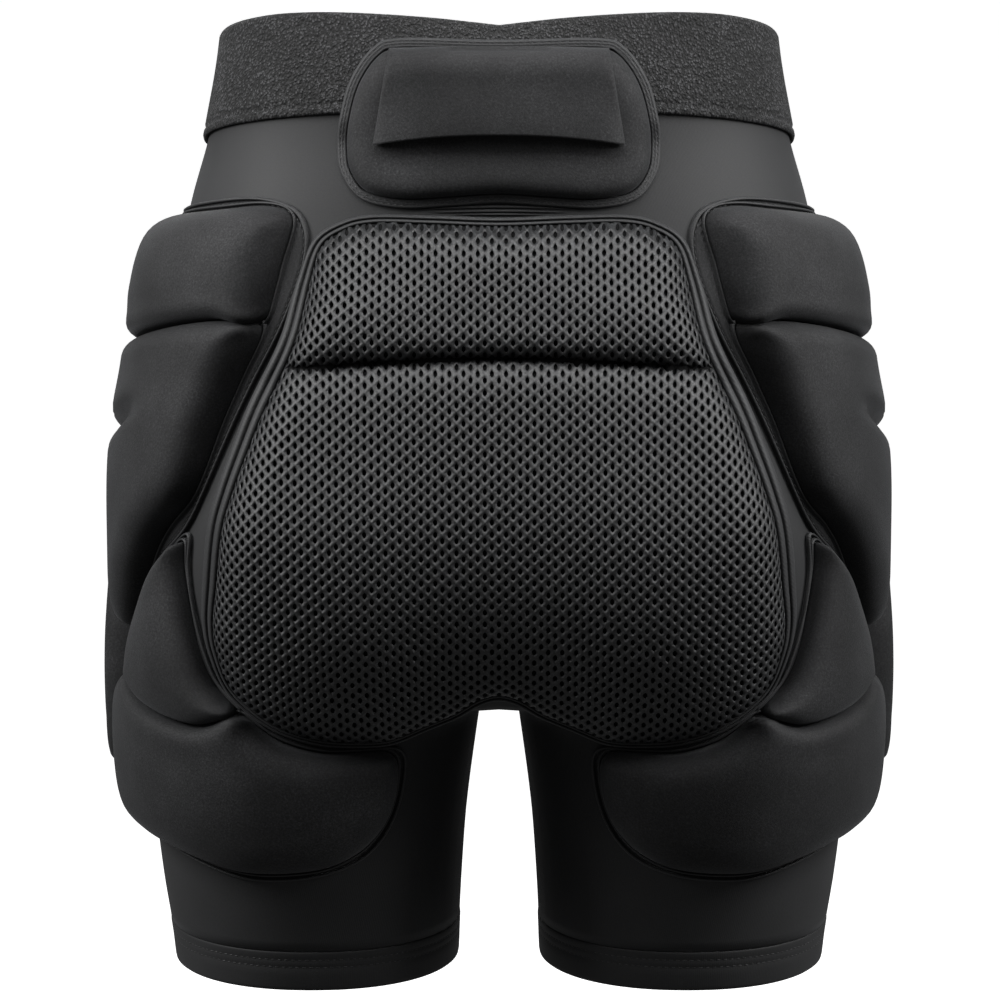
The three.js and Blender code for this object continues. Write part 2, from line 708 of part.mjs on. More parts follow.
const PIECES = [
  ['shell', shellSolid(), COLOURS.shell],
  ['waistband', bandSolid(0).subtract(under), COLOURS.band],
  ['hem_right', hem, COLOURS.shell],
  ['hem_left', mirroredSolid(hem), COLOURS.shell],
  ['lumbar_border', lumbarBorder, COLOURS.border],
  ['lumbar_pad', lumbarPad, COLOURS.pad],
  ['lumbar_flap', lumbarFlap, COLOURS.band],
  ['seat_border', borderSolid(seat, STYLES.seat, SEAT_BORDER).subtract(under), COLOURS.border],
  ['seat_pad', padSolid(seat, STYLES.seat, seatInset).subtract(under), COLOURS.seat],
  ['side_pad_right', sidePad, COLOURS.pad],
  ['side_pad_left', mirroredSolid(sidePad), COLOURS.pad],
  ['thigh_pad_right', thighPad, COLOURS.pad],
  ['thigh_pad_left', mirroredSolid(thighPad), COLOURS.pad],
  ['front_pad_right', frontPad, COLOURS.pad],
  ['front_pad_left', mirroredSolid(frontPad), COLOURS.pad],
];

const shorts = new THREE.Group();
shorts.name = 'padded_hip_shorts';
for (const [name, solid, colour] of PIECES) {
  const material = new THREE.MeshStandardMaterial({ color: colour, roughness: 0.85, metalness: 0 });
  const mesh = new THREE.Mesh(geometryOf(solid), material);
  mesh.name = name;
  shorts.add(mesh);
}

export default shorts;
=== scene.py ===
"""Padded hip shorts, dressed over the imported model: cloth, foam pads, spacer mesh, borders and stitching.

The making works in millimetres and a mesh is stored in metres. The wearer's back faces -Y, the
wearer's right is +X, and z is zero at the waist's middle. Left pieces are mirrored from right ones.
"""

import bmesh
import bpy
import numpy as np
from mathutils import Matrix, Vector


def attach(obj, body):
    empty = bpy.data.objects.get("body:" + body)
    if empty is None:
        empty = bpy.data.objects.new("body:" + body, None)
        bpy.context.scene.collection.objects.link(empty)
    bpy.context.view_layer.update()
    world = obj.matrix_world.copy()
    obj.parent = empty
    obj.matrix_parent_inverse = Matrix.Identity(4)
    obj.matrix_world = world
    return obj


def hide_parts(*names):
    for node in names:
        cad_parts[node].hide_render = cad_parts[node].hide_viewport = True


bl_info = {
    "name": "Padded hip shorts",
    "version": (1, 0, 0),
    "blender": (4, 5, 0),
    "location": "3D View > Sidebar > Hip pad",
    "description": "Dresses the packed hip shorts with cloth, foam pads, spacer mesh, borders and stitching",
    "category": "Object",
}

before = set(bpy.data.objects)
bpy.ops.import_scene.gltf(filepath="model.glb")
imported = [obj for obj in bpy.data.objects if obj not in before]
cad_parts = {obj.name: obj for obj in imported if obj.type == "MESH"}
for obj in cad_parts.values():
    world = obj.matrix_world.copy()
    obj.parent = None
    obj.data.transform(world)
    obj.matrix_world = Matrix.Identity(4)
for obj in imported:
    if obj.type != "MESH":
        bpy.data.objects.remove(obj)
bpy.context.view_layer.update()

MM = 0.001
RADIAN = np.pi / 180

# The body form, as in the part's source, in millimetres
RISE = 266.0
DROP = 390.0
HIP_HALF = 156.5
HIP_BACK = 122.0
HIP_FRONT = 99.0
LEG_CENTRE = 82.0
LEG_HALF = 65.5
LEG_BACK = 78.0
LEG_FRONT = 80.0
FILLET = 12.0
SEAT_FILLET = 50.0
TORSO_POWER = 2.3
LEG_POWER = 2.15
LEG_TOP = 0.315
AXIS_FROM = 0.22
AXIS_TO = 0.95
CLOTH = 2.0
GAP = 0.3
CROTCH_ROW = 0.885
FIRST_LEG_ROW = 1.05
BAND_LOW = 21.0
BAND_TILT = 0.2
BAND_HEIGHT = 44.0
BAND_WALL = 2.5
BAND_LAP = 8.0
HEM_HEIGHT = 18.0

# Torso sections: share of RISE down, then shares of HIP_HALF, HIP_BACK and HIP_FRONT
TORSO = np.array([
    (-0.2, 0.745, 0.64, 0.85), (-0.045, 0.785, 0.69, 0.89), (0.067, 0.82, 0.72, 0.92),
    (0.18, 0.874, 0.795, 0.96), (0.35, 0.934, 0.9, 0.99), (0.52, 0.972, 0.975, 1.0),
    (0.69, 0.978, 1.0, 0.99), (0.86, 0.945, 0.92, 0.92), (1.0, 0.86, 0.72, 0.74),
    (1.12, 0.76, 0.49, 0.5),
])
# Leg sections: share of DROP down, then shares of LEG_CENTRE, LEG_HALF, LEG_BACK and LEG_FRONT
LEG = np.array([
    (0.303, 0.9, 1.0, 1.1, 1.0), (0.354, 0.915, 1.09, 1.22, 1.075), (0.469, 0.94, 1.17, 1.42, 1.1875),
    (0.585, 0.965, 1.18, 1.42, 1.1875), (0.7, 1.01, 1.14, 1.308, 1.1625), (0.815, 1.035, 1.08, 1.167, 1.1),
    (0.897, 1.03, 1.035, 1.077, 1.05), (0.982, 1.01, 0.985, 1.0, 1.0), (1.07, 1.0, 0.96, 0.936, 0.975),
])
# Rim of the waistband: degrees from the back, and height as a share of BAND_HEIGHT
RIM = np.array([(0, 0.84), (28, 0.95), (60, 1.05), (95, 1.03), (135, 1.0), (180, 1.0)])

# Outlines of the pads on the wearer's right. Turned ones are (degrees from the back, z)
SIDE_FLANGE = [
    (45.9, -47.1), (50.2, -43.2), (56.7, -41.7), (65, -43.5), (80.7, -49), (92, -54), (101, -63),
    (105.5, -78), (108, -104), (109, -140), (109, -172), (107, -186), (103, -198), (98, -208), (94, -217),
    (92, -227), (89, -236.5), (84.5, -242), (79, -243), (71, -238), (65, -226), (59.5, -212.5), (54, -201),
    (47.5, -192.5), (43.1, -182.7), (42, -169.4), (42.3, -153.9), (43.1, -123), (42.3, -97.9),
    (42.1, -74.1), (42.6, -61.5), (43.4, -54.5),
]
SIDE_UPPER = [
    (47, -49.6), (49.8, -46), (55.4, -45.3), (63.3, -47.5), (81.4, -53), (92, -58), (99, -66), (102.5, -79),
    (104.8, -100), (105.5, -116), (92, -111), (80, -105.5), (69, -99.7), (59.7, -95.1), (52.7, -93),
    (46.6, -94), (46.6, -82.9), (47.1, -68.1), (46.7, -55.9),
]
SIDE_LOWER = [
    (46.2, -95.2), (52.7, -93.6), (59.7, -95.7), (69, -100.3), (80, -106.1), (92, -111.6), (105.5, -116.6),
    (106, -140), (106, -171), (104.3, -184), (100.6, -195), (95.7, -205.5), (91.8, -215), (89.7, -225),
    (87, -233), (83.5, -237.6), (79, -238.6), (73, -234), (67.3, -223), (61.5, -208.5), (55.8, -195),
    (50.3, -182.5), (45.4, -171.4), (44.8, -157.8), (46, -136.4), (46.3, -118.5),
]
SIDE_SEAM = [
    (44, -94.8), (47.4, -93.9), (52.7, -93.2), (59.7, -95.3), (69, -100), (80, -105.8), (106, -116.4),
]
SIDE_FOLD = [(61, -133.5), (68.8, -136), (79.4, -145), (92, -154), (110, -163)]

THIGH_FLANGE = [
    (41.8, -184.1), (46.4, -191), (51.5, -201), (57, -218), (64, -232), (70, -246), (80, -251.5), (89, -258),
    (93.5, -272), (94, -296), (90.5, -319), (78, -328), (59.4, -329.4), (42.6, -332), (30.8, -335.2),
    (19.9, -338.4), (9.2, -338.6), (-3.5, -336.2), (-13.5, -330.6), (-19.8, -322.8), (-24.4, -311),
    (-26.4, -295), (-24.8, -279), (-13, -277.6), (-2, -276.6), (7, -271), (14, -262.5), (20.5, -252.5),
    (25.4, -242.1), (29.9, -227.9), (34.2, -214), (38.6, -200.1),
]
THIGH_UPPER = [
    (43.1, -189.9), (46.4, -195), (50.6, -204), (55.6, -219), (61, -232), (65.2, -245), (65.4, -256.2),
    (58, -260.6), (50.7, -263.7), (36.4, -266.9), (27.2, -267.6), (21.4, -264.9), (17, -260.6), (23.2, -250),
    (27.6, -238), (32, -225), (36.4, -212), (40.4, -200),
]
THIGH_LOWER = [
    (16.4, -261.4), (21.4, -266), (27.2, -268.7), (36.4, -268), (50.7, -264.8), (58, -261.7), (66, -257.3),
    (78, -256), (87, -262), (90.5, -275), (91, -298), (87.6, -315.5), (76, -323.6), (59.4, -325.2),
    (42.6, -327.8), (30.8, -331), (19.9, -334.2), (9.2, -334.4), (-3.5, -332), (-11.6, -326.6),
    (-17, -319.6), (-21.2, -309.4), (-23, -295), (-21.4, -281), (-12, -279.4), (-2, -278.6), (8.4, -272.4),
]
THIGH_SEAM = [
    (15.5, -260.5), (21.4, -265.5), (27.2, -268.2), (36.4, -267.5), (50.7, -264.3), (58, -261.1),
    (66, -256.8),
]

FRONT_FLANGE = [
    (105, -202.8), (112, -200.5), (124, -200.3), (133, -203), (141, -214), (146, -234), (148, -257),
    (147.5, -286), (143, -303), (134, -312.5), (118, -318), (105, -316.5), (98.3, -310), (95.9, -299),
    (95.3, -287), (94.6, -270), (94.5, -257), (95.8, -234), (99.5, -215.7),
]
FRONT_PAD = [
    (107, -206.5), (113, -204), (124, -203.8), (131.5, -206.5), (138.5, -216.5), (143, -235), (144.8, -257),
    (144, -286), (139.8, -300.4), (132, -308.5), (118, -314), (107, -312.8), (100.3, -307.5), (97.8, -298),
    (97.3, -287), (96.6, -270), (96.4, -257), (97.6, -235), (101, -218),
]
FRONT_SEAM = [
    (105.5, -206), (100.5, -217.5), (97, -235), (95.8, -257), (96, -270), (96.8, -287), (97.4, -299),
    (99.5, -309),
]

# Outlines seen from behind are (x, z), one half from the middle of the top down to the middle below
SEAT_HALF = [
    (0, -48.4), (29, -47.6), (53.5, -47.5), (67.6, -50.7), (79.2, -58.5), (86.1, -75.3), (93.4, -100),
    (105.8, -125.5), (113.1, -143.7), (120.5, -164.3), (125, -182), (127.5, -211.7), (127.3, -225),
    (124.9, -235.9), (118.1, -251.5), (106.9, -262.4), (93.6, -270.4), (76.8, -275.2), (58, -276.6),
    (45.6, -275.9), (31.9, -270.7), (18.1, -265), (8.2, -258.6), (0, -256.1),
]
SEAT_CREASE = [(0, -105.6), (28.9, -106.5), (58.3, -108.4), (89.6, -111.2), (110, -113.4)]
LUMBAR_HALF = [
    (0, 26.2), (42.1, 26.9), (54, 22.6), (63.5, 9), (68.2, -7.9), (69.1, -20.6), (67.3, -31), (59, -41.2),
    (42, -44.7), (20.7, -43.7), (0, -42.4),
]
# Flap on the lumbar pad: its corners at the top and at the free edge
FLAP_TOP = (46.8, 22.8)
FLAP_LOW = (53.6, -17.8)
FLAP_MIDDLE_LOW = -13.3

# Border of the seat pad: z against its width seen from behind
BORDER_WIDTH = [(-277, 3.0), (-245, 3.4), (-205, 6.4), (-120, 7.4), (-80, 6.0), (-60, 4.6), (-47, 3.4)]

# Heights between which the sides of the seat pad are nearly upright
SIDES_FROM = -215.0
SIDES_TO = -75.0

# Points round an outline, and the insets of the rings that a lobe's shoulder and its back are made of
SPOKES = 240
SEAT_SPOKES = 360
MIDDLE_RINGS = 14
FIRST_RINGS = (0, 0.3, 0.8, 1.6, 2.8, 4.4, 6.4, 9, 12, 15)
BACK_RINGS = (0, 3, 8, 15)
# Share of an outline's long middle that its rings close on, and the most of the way that they take
SPINE_SHARE = 0.75
TUCK_SHARE = 0.62

# Steps of the searches for a place on the form
HALVINGS = 21
CROTCH_HALVINGS = 26
SETTLINGS = 5

# Slopes over the waistband's lower edge: where each starts and ends, from that edge up
STEP_FROM, STEP_TO = -14, -1
EASE_FROM, EASE_TO = -26, 16

# A fold pressed into a lobe, and the slow unevenness of a stuffed face
FOLD_DEEP = 6.5
FOLD_WIDE = 5.0
FOLD_FADE = 34
UNEVEN = 0.3

# Flat sewn sheet: height of its edge, and its lowest height in a groove
SHEET_EDGE = 0.8
SHEET_LEAST = 0.5
# Grooves of a sheet: place from the sheet's edge or from a lobe's foot, depth and half width
EDGE_GROOVE = (1.6, 0.9, 0.5)
FOOT_GROOVES = ((0, 1.2, 0.9), (2.7, 1.0, 0.6))
FLANGE_GROOVE = 2.4
STITCH_GROOVE = (FLANGE_GROOVE, 0.5, 0.5)

# One stitch: its length, its thickness, how deep it lies, and its sections: place along it as a share
# of its length, size as a share of its thickness, and dip
STITCH_LENGTH = 2.0
STITCH_THICK = 0.5
STITCH_SUNK = 0.12
STITCH_SECTIONS = ((-0.5, 0.35, 1), (-0.3, 0.95, 0.2), (0.3, 0.95, 0.2), (0.5, 0.35, 1))
STITCH_DIP = 0.4
STITCH_SIDES = 6

# Points closer than this are one point
WELD = 0.02


class HipPadSizes(bpy.types.PropertyGroup):
    """Sizes of the pads and of their detail that a maker would change"""

    side_thick: bpy.props.FloatProperty(
        name="Hip pad thickness", description="Foam of the hip pads over the cloth",
        default=0.020, unit="LENGTH", subtype="DISTANCE")
    thigh_thick: bpy.props.FloatProperty(
        name="Thigh pad thickness", description="Foam of the rear thigh pads over the cloth",
        default=0.018, unit="LENGTH", subtype="DISTANCE")
    front_thick: bpy.props.FloatProperty(
        name="Front pad thickness", description="Foam of the front thigh pads over the cloth",
        default=0.025, unit="LENGTH", subtype="DISTANCE")
    seat_thick: bpy.props.FloatProperty(
        name="Seat pad thickness", description="Foam and mesh of the seat pad over the cloth",
        default=0.017, unit="LENGTH", subtype="DISTANCE")
    lumbar_thick: bpy.props.FloatProperty(
        name="Lumbar pad thickness", description="Foam of the lumbar pad over the waistband",
        default=0.011, unit="LENGTH", subtype="DISTANCE")
    flange_wall: bpy.props.FloatProperty(
        name="Flange thickness", description="Flat sewn edge round a pad",
        default=0.0018, unit="LENGTH", subtype="DISTANCE")
    hole_across: bpy.props.FloatProperty(
        name="Mesh column pitch", description="Distance between columns of holes in the spacer mesh",
        default=0.00297, unit="LENGTH", subtype="DISTANCE")
    hole_down: bpy.props.FloatProperty(
        name="Mesh row pitch", description="Distance between holes down a column of the spacer mesh",
        default=0.0052, unit="LENGTH", subtype="DISTANCE")
    stitch_pitch: bpy.props.FloatProperty(
        name="Stitch pitch", description="Distance from one stitch to the next",
        default=0.0030, unit="LENGTH", subtype="DISTANCE")


class HipPadColours(bpy.types.PropertyGroup):
    """Colours of the cloths, as linear light"""

    stretch: bpy.props.FloatVectorProperty(
        name="Stretch cloth", description="Smooth cloth of the shell and the hems",
        default=(0.0142, 0.0144, 0.0149), subtype="COLOR", min=0, max=1)
    pad: bpy.props.FloatVectorProperty(
        name="Pad cloth", description="Brushed cloth over the foam pads",
        default=(0.0096, 0.0097, 0.0101), subtype="COLOR", min=0, max=1)
    # The mesh colour also sets the foam under it, darkened as painted shade in the holes
    mesh: bpy.props.FloatVectorProperty(
        name="Spacer mesh", description="Yarn of the seat pad's mesh",
        default=(0.0056, 0.0058, 0.0062), subtype="COLOR", min=0, max=1)
    elastic: bpy.props.FloatVectorProperty(
        name="Elastic", description="Looped face of the waistband",
        default=(0.0060, 0.0060, 0.0063), subtype="COLOR", min=0, max=1)
    binding: bpy.props.FloatVectorProperty(
        name="Binding", description="Ribbed borders of the seat and lumbar pads",
        default=(0.0140, 0.0142, 0.0148), subtype="COLOR", min=0, max=1)
    thread: bpy.props.FloatVectorProperty(
        name="Thread", description="Stitches along the flanges and the hems",
        default=(0.0140, 0.0140, 0.0146), subtype="COLOR", min=0, max=1)


class HipPadStage(bpy.types.PropertyGroup):
    """Camera and light of the plain studio"""

    distance: bpy.props.FloatProperty(
        name="Camera distance", description="From the camera to the middle of the shorts",
        default=2.0, unit="LENGTH", subtype="DISTANCE")
    elevation: bpy.props.FloatProperty(
        name="Camera elevation", description="Angle of the camera above the horizon",
        default=8 * RADIAN, unit="ROTATION", subtype="ANGLE")
    lens: bpy.props.FloatProperty(
        name="Lens", description="Focal length on a 36 mm sensor", default=160.0, unit="CAMERA")
    middle: bpy.props.FloatProperty(
        name="Middle height", description="Height that the camera looks at",
        default=-0.183, unit="LENGTH", subtype="DISTANCE")
    surround: bpy.props.FloatProperty(
        name="Surround light", description="Strength of the even light from all round",
        default=0.19)
    top_light: bpy.props.FloatProperty(
        name="Top softbox", description="Power of the softbox above the camera",
        default=11.0, unit="POWER")
    side_light: bpy.props.FloatProperty(
        name="Side softboxes", description="Power of each softbox above the sides",
        default=24.0, unit="POWER")
    back_light: bpy.props.FloatProperty(
        name="Back softbox", description="Power of the softbox above the front of the shorts",
        default=16.0, unit="POWER")


# --- Curves and the body form -----------------------------------------------------------------

def smooth(rows, column, place):
    """Smooth curve through a column of a table, read against its first column."""
    at = rows[:, 0]
    value = rows[:, column]
    slope = np.gradient(value, at)
    slope[1:-1] = (value[2:] - value[:-2]) / (at[2:] - at[:-2])
    place = np.clip(place, at[0], at[-1])
    i = np.clip(np.searchsorted(at, place) - 1, 0, len(at) - 2)
    step = at[i + 1] - at[i]
    t = (place - at[i]) / step
    rest = 1 - t
    start = (1 + 2 * t) * value[i] + t * step * slope[i]
    end = (3 - 2 * t) * value[i + 1] - rest * step * slope[i + 1]
    return rest * rest * start + t * t * end


def section(x, y, half, back, front, power):
    """Distance-like value of a level section with its own depths behind and before."""
    deep = np.where(y < 0, back, front)
    size = (np.abs(x / half) ** power + np.abs(y / deep) ** power) ** (1 / power)
    radius = np.hypot(x, y)
    return radius - radius / np.maximum(size, 1e-6)


def blend(a, b, width):
    """The lower of two values, rounded where they meet."""
    h = np.clip(0.5 + 0.5 * (b - a) / width, 0, 1)
    return b * (1 - h) + a * h - width * h * (1 - h)


def smoothstep(value, low, high):
    """0 below low, 1 above high, and a smooth rise between."""
    t = np.clip((value - low) / (high - low), 0, 1)
    return t * t * (3 - 2 * t)


def sections_at(z):
    """The torso's and the legs' section sizes at a height."""
    hip_sizes = (HIP_HALF, HIP_BACK, HIP_FRONT)
    leg_sizes = (LEG_CENTRE, LEG_HALF, LEG_BACK, LEG_FRONT)
    torso = [smooth(TORSO, k + 1, -z / RISE) * size for k, size in enumerate(hip_sizes)]
    leg = [smooth(LEG, k + 1, -z / DROP) * size for k, size in enumerate(leg_sizes)]
    return torso, leg


def body(x, y, z, fillet=FILLET, sizes=None):
    """The body form: zero on the cloth's outer face, positive outside."""
    torso, leg = sizes or sections_at(z)
    trunk = -blend(-section(x, y, *torso, TORSO_POWER), RISE + z, 2 * FILLET)
    centre, *round_sizes = leg
    low = -z - LEG_TOP * DROP
    legs = [-blend(-section(x - side * centre, y, *round_sizes, LEG_POWER), low, FILLET) for side in (1, -1)]
    return blend(trunk, blend(*legs, fillet), fillet)


def outward(p):
    """Unit normals of the form at points."""
    h = 0.5
    x, y, z = np.moveaxis(p, -1, 0)
    n = np.stack([
        body(x + h, y, z) - body(x - h, y, z),
        body(x, y + h, z) - body(x, y - h, z),
        body(x, y, z + h) - body(x, y, z - h),
    ], -1)
    return n / np.linalg.norm(n, axis=-1, keepdims=True)


def reach(x, y, z, dx, dy, lift, fillet=FILLET):
    """Points where level rays leave the form by a lift, short of the centre plane."""
    x, y, z, dx, dy, lift = np.broadcast_arrays(*[np.asarray(v, float) for v in (x, y, z, dx, dy, lift)])
    sizes = sections_at(z)
    near = np.zeros(x.shape)
    inwards = dx < -1e-9
    far = np.where(inwards, np.minimum(x / np.where(inwards, -dx, 1), 2 * HIP_HALF), 2 * HIP_HALF)
    for _ in range(HALVINGS):
        mid = (near + far) / 2
        inside = body(x + dx * mid, y + dy * mid, z, fillet, sizes) < lift
        near = np.where(inside, mid, near)
        far = np.where(inside, far, mid)
    return np.stack([x + dx * near, y + dy * near, z], -1)


def axis_at(z):
    """Axis that the turned outlines go round: the centre line above, a leg's middle below."""
    return LEG_CENTRE * smoothstep(-z, AXIS_FROM * RISE, AXIS_TO * RISE)


def around(turn, z, lift):
    """Point of the form at a turn in degrees from straight back."""
    z = np.asarray(z, float)
    return reach(axis_at(z), 0.0, z, np.sin(turn * RADIAN), -np.cos(turn * RADIAN), lift)


def behind(x, z, lift):
    """Point of the form straight behind a place seen from the back."""
    mirrored = np.where(np.asarray(x) < 0, -1.0, 1.0)
    p = reach(np.abs(x), 0.0, z, 0.0, -1.0, lift, SEAT_FILLET)
    return p * np.stack([mirrored, np.ones_like(mirrored), np.ones_like(mirrored)], -1)


def low_of_band(y):
    """Height of the waistband's lower edge, which tilts down towards the front."""
    return -BAND_LOW - BAND_TILT * y


def band_step(y, z):
    """What lies on the waistband steps up over its lower edge."""
    low = low_of_band(y)
    return (GAP + BAND_WALL) * smoothstep(z, low + STEP_FROM, low + STEP_TO)


def eased_step(x, z):
    """What turns that step into a gentle slope on the face of a thick piece."""
    y = behind(x, z, 0)[..., 1]
    low = low_of_band(y)
    return (GAP + BAND_WALL) * smoothstep(z, low + EASE_FROM, low + EASE_TO) - band_step(y, z)


class Turned:
    """Chart for outlines in degrees and z: u is millimetres round from its middle turn."""

    def __init__(self, middle):
        self.middle = middle

    def radius(self, z):
        """Millimetres in a degree at a height."""
        return (HIP_HALF - axis_at(z)) * RADIAN

    def flat(self, outline):
        """An outline laid out in the chart's own u and z."""
        turn, z = np.array(outline, float).T
        return np.stack([(turn - self.middle) * self.radius(z), z], -1)

    def point(self, u, z, lift):
        """Point over the form at a place of the chart."""
        return around(self.middle + u / self.radius(z), z, lift)


class Behind:
    """Chart for outlines seen from behind: u is x."""

    def __init__(self, stepped=False):
        self.stepped = stepped

    def flat(self, outline):
        """An outline as it is seen from behind."""
        return np.array(outline, float)

    def point(self, u, z, lift):
        """Point over the form, and over the waistband where the chart is stepped."""
        if self.stepped:
            lift = lift + band_step(behind(u, z, 0)[..., 1], z)
        return behind(u, z, lift)


# --- Outlines ---------------------------------------------------------------------------------

def through(points, count, closed=True):
    """Evenly spaced points of a smooth curve through a few points."""
    p = np.asarray(points, float)
    if closed:
        a, b, c, d = np.roll(p, 1, 0), p, np.roll(p, -1, 0), np.roll(p, -2, 0)
    else:
        q = np.vstack([2 * p[0] - p[1], p, 2 * p[-1] - p[-2]])
        a, b, c, d = q[:-3], q[1:-2], q[2:-1], q[3:]
    t = np.linspace(0, 1, 24, endpoint=False)[:, None, None]
    square, cube = 2 * a - 5 * b + 4 * c - d, 3 * b - a - 3 * c + d
    curve = 0.5 * (2 * b + (c - a) * t + square * t**2 + cube * t**3)
    curve = curve.transpose(1, 0, 2).reshape(-1, p.shape[1])
    if not closed:
        curve = np.vstack([curve, p[-1]])
    return evened(curve, count, closed)


def evened(curve, count, closed=True):
    """The same curve with evenly spaced points."""
    if closed:
        curve = np.vstack([curve, curve[:1]])
    gone = np.concatenate([[0], np.cumsum(np.linalg.norm(np.diff(curve, axis=0), axis=1))])
    at = np.linspace(0, gone[-1], count + closed)[:count]
    return np.stack([np.interp(at, gone, curve[:, k]) for k in range(curve.shape[1])], -1)


def softened(curve, passes):
    """A closed curve with its corners rounded."""
    for _ in range(passes):
        curve = 0.5 * curve + 0.25 * (np.roll(curve, 1, 0) + np.roll(curve, -1, 0))
    return curve


def closed_half(half, count=SPOKES):
    """Closed outline from its right half, which runs from the middle above to the middle below."""
    right = np.array(half, float)
    left = right[-2:0:-1] * (-1, 1)
    return through(np.vstack([right, left]), count)


def runs_left(curve):
    """Whether a closed outline runs anticlockwise."""
    x, z = curve.T
    return np.sum(x * np.roll(z, -1) - np.roll(x, -1) * z) > 0


def inward(curve):
    """Unit normals into a closed outline."""
    t = np.roll(curve, -1, 0) - np.roll(curve, 1, 0)
    n = np.stack([-t[:, 1], t[:, 0]], -1)
    n = n / np.maximum(np.linalg.norm(n, axis=1, keepdims=True), 1e-9)
    return n if runs_left(curve) else -n


def moved_in(curve, distance):
    """A closed outline moved inwards, a millimetre at a time so that it stays smooth."""
    left = distance
    while left > 1e-6:
        step = min(left, 1.0)
        curve = softened(evened(curve + inward(curve) * step, len(curve)), 1)
        left -= step
    return curve


def spine_of(outline):
    """A short line along the middle of a closed outline."""
    centre = outline.mean(0)
    spread = outline - centre
    _, _, axes = np.linalg.svd(spread, full_matrices=False)
    long, wide = np.abs(spread @ axes.T).max(0)
    half = max(long - wide, 0.0) * SPINE_SHARE
    return np.stack([centre - axes[0] * half, centre + axes[0] * half])


def rings_of(outline, insets, middle):
    """Rings of a closed outline, drawn in towards its spine, and their true distances from it."""
    a, b = spine_of(outline)
    length = max(np.sum((b - a) ** 2), 1e-9)
    along = np.clip((outline - a) @ (b - a) / length, 0, 1)
    target = a + along[:, None] * (b - a)
    run = np.linalg.norm(target - outline, axis=1)
    squeeze = np.minimum(1, TUCK_SHARE * run / insets[-1])
    gone = [inset * squeeze for inset in insets]
    last = gone[-1]
    gone += [last + (run - last) * t for t in np.linspace(0, 1, middle + 1)[1:]]
    share = np.array(gone) / np.maximum(run, 1e-9)
    rings = outline + (target - outline) * share[..., None]
    return rings, near_curve(rings, closed_line(outline))


def closed_line(outline):
    """A closed outline as a line that ends where it starts."""
    return np.vstack([outline, outline[:1]])


def near_curve(points, curve):
    """Distance from each point to an open polyline."""
    a, b = curve[:-1], curve[1:]
    shape = points.shape[:-1]
    p = points.reshape(-1, 1, 2)
    along = np.sum((p - a) * (b - a), -1) / np.maximum(np.sum((b - a) ** 2, -1), 1e-9)
    foot = a + np.clip(along, 0, 1)[..., None] * (b - a)
    return np.linalg.norm(p - foot, axis=-1).min(1).reshape(shape)


def soft_field(points, curve, marked):
    """Distance from a closed outline, smooth along its middle, and how much of it the marked side gives."""
    step = np.linalg.norm(np.roll(curve, -1, 0) - curve, axis=1)
    gap = np.linalg.norm(points[..., None, :] - curve, axis=-1)
    pull = step / np.maximum(gap, 0.001) ** 4
    whole = pull.sum(-1)
    return (whole * 2 / np.pi) ** (-1 / 3), (pull * marked).sum(-1) / whole


def inside_curve(points, curve):
    """Whether each point is inside a closed outline."""
    x, z = points[..., 0, None], points[..., 1, None]
    (ax, az), (bx, bz) = curve.T, np.roll(curve, -1, 0).T
    spans = (az > z) != (bz > z)
    safe = np.where(np.abs(bz - az) < 1e-9, 1e-9, bz - az)
    return (spans & (x < (bx - ax) * (z - az) / safe + ax)).sum(-1) % 2 == 1


def inside_by(points, outline):
    """Distance of each point inside a closed outline, and less than zero outside it."""
    return near_curve(points, closed_line(outline)) * np.where(inside_curve(points, outline), 1, -1)


def rise(share, power=2.3):
    """Round shoulder: 0 at the edge, 1 from the shoulder's width on."""
    return (1 - (1 - np.clip(share, 0, 1)) ** power) ** (1 / power)


# --- Mesh pieces ------------------------------------------------------------------------------

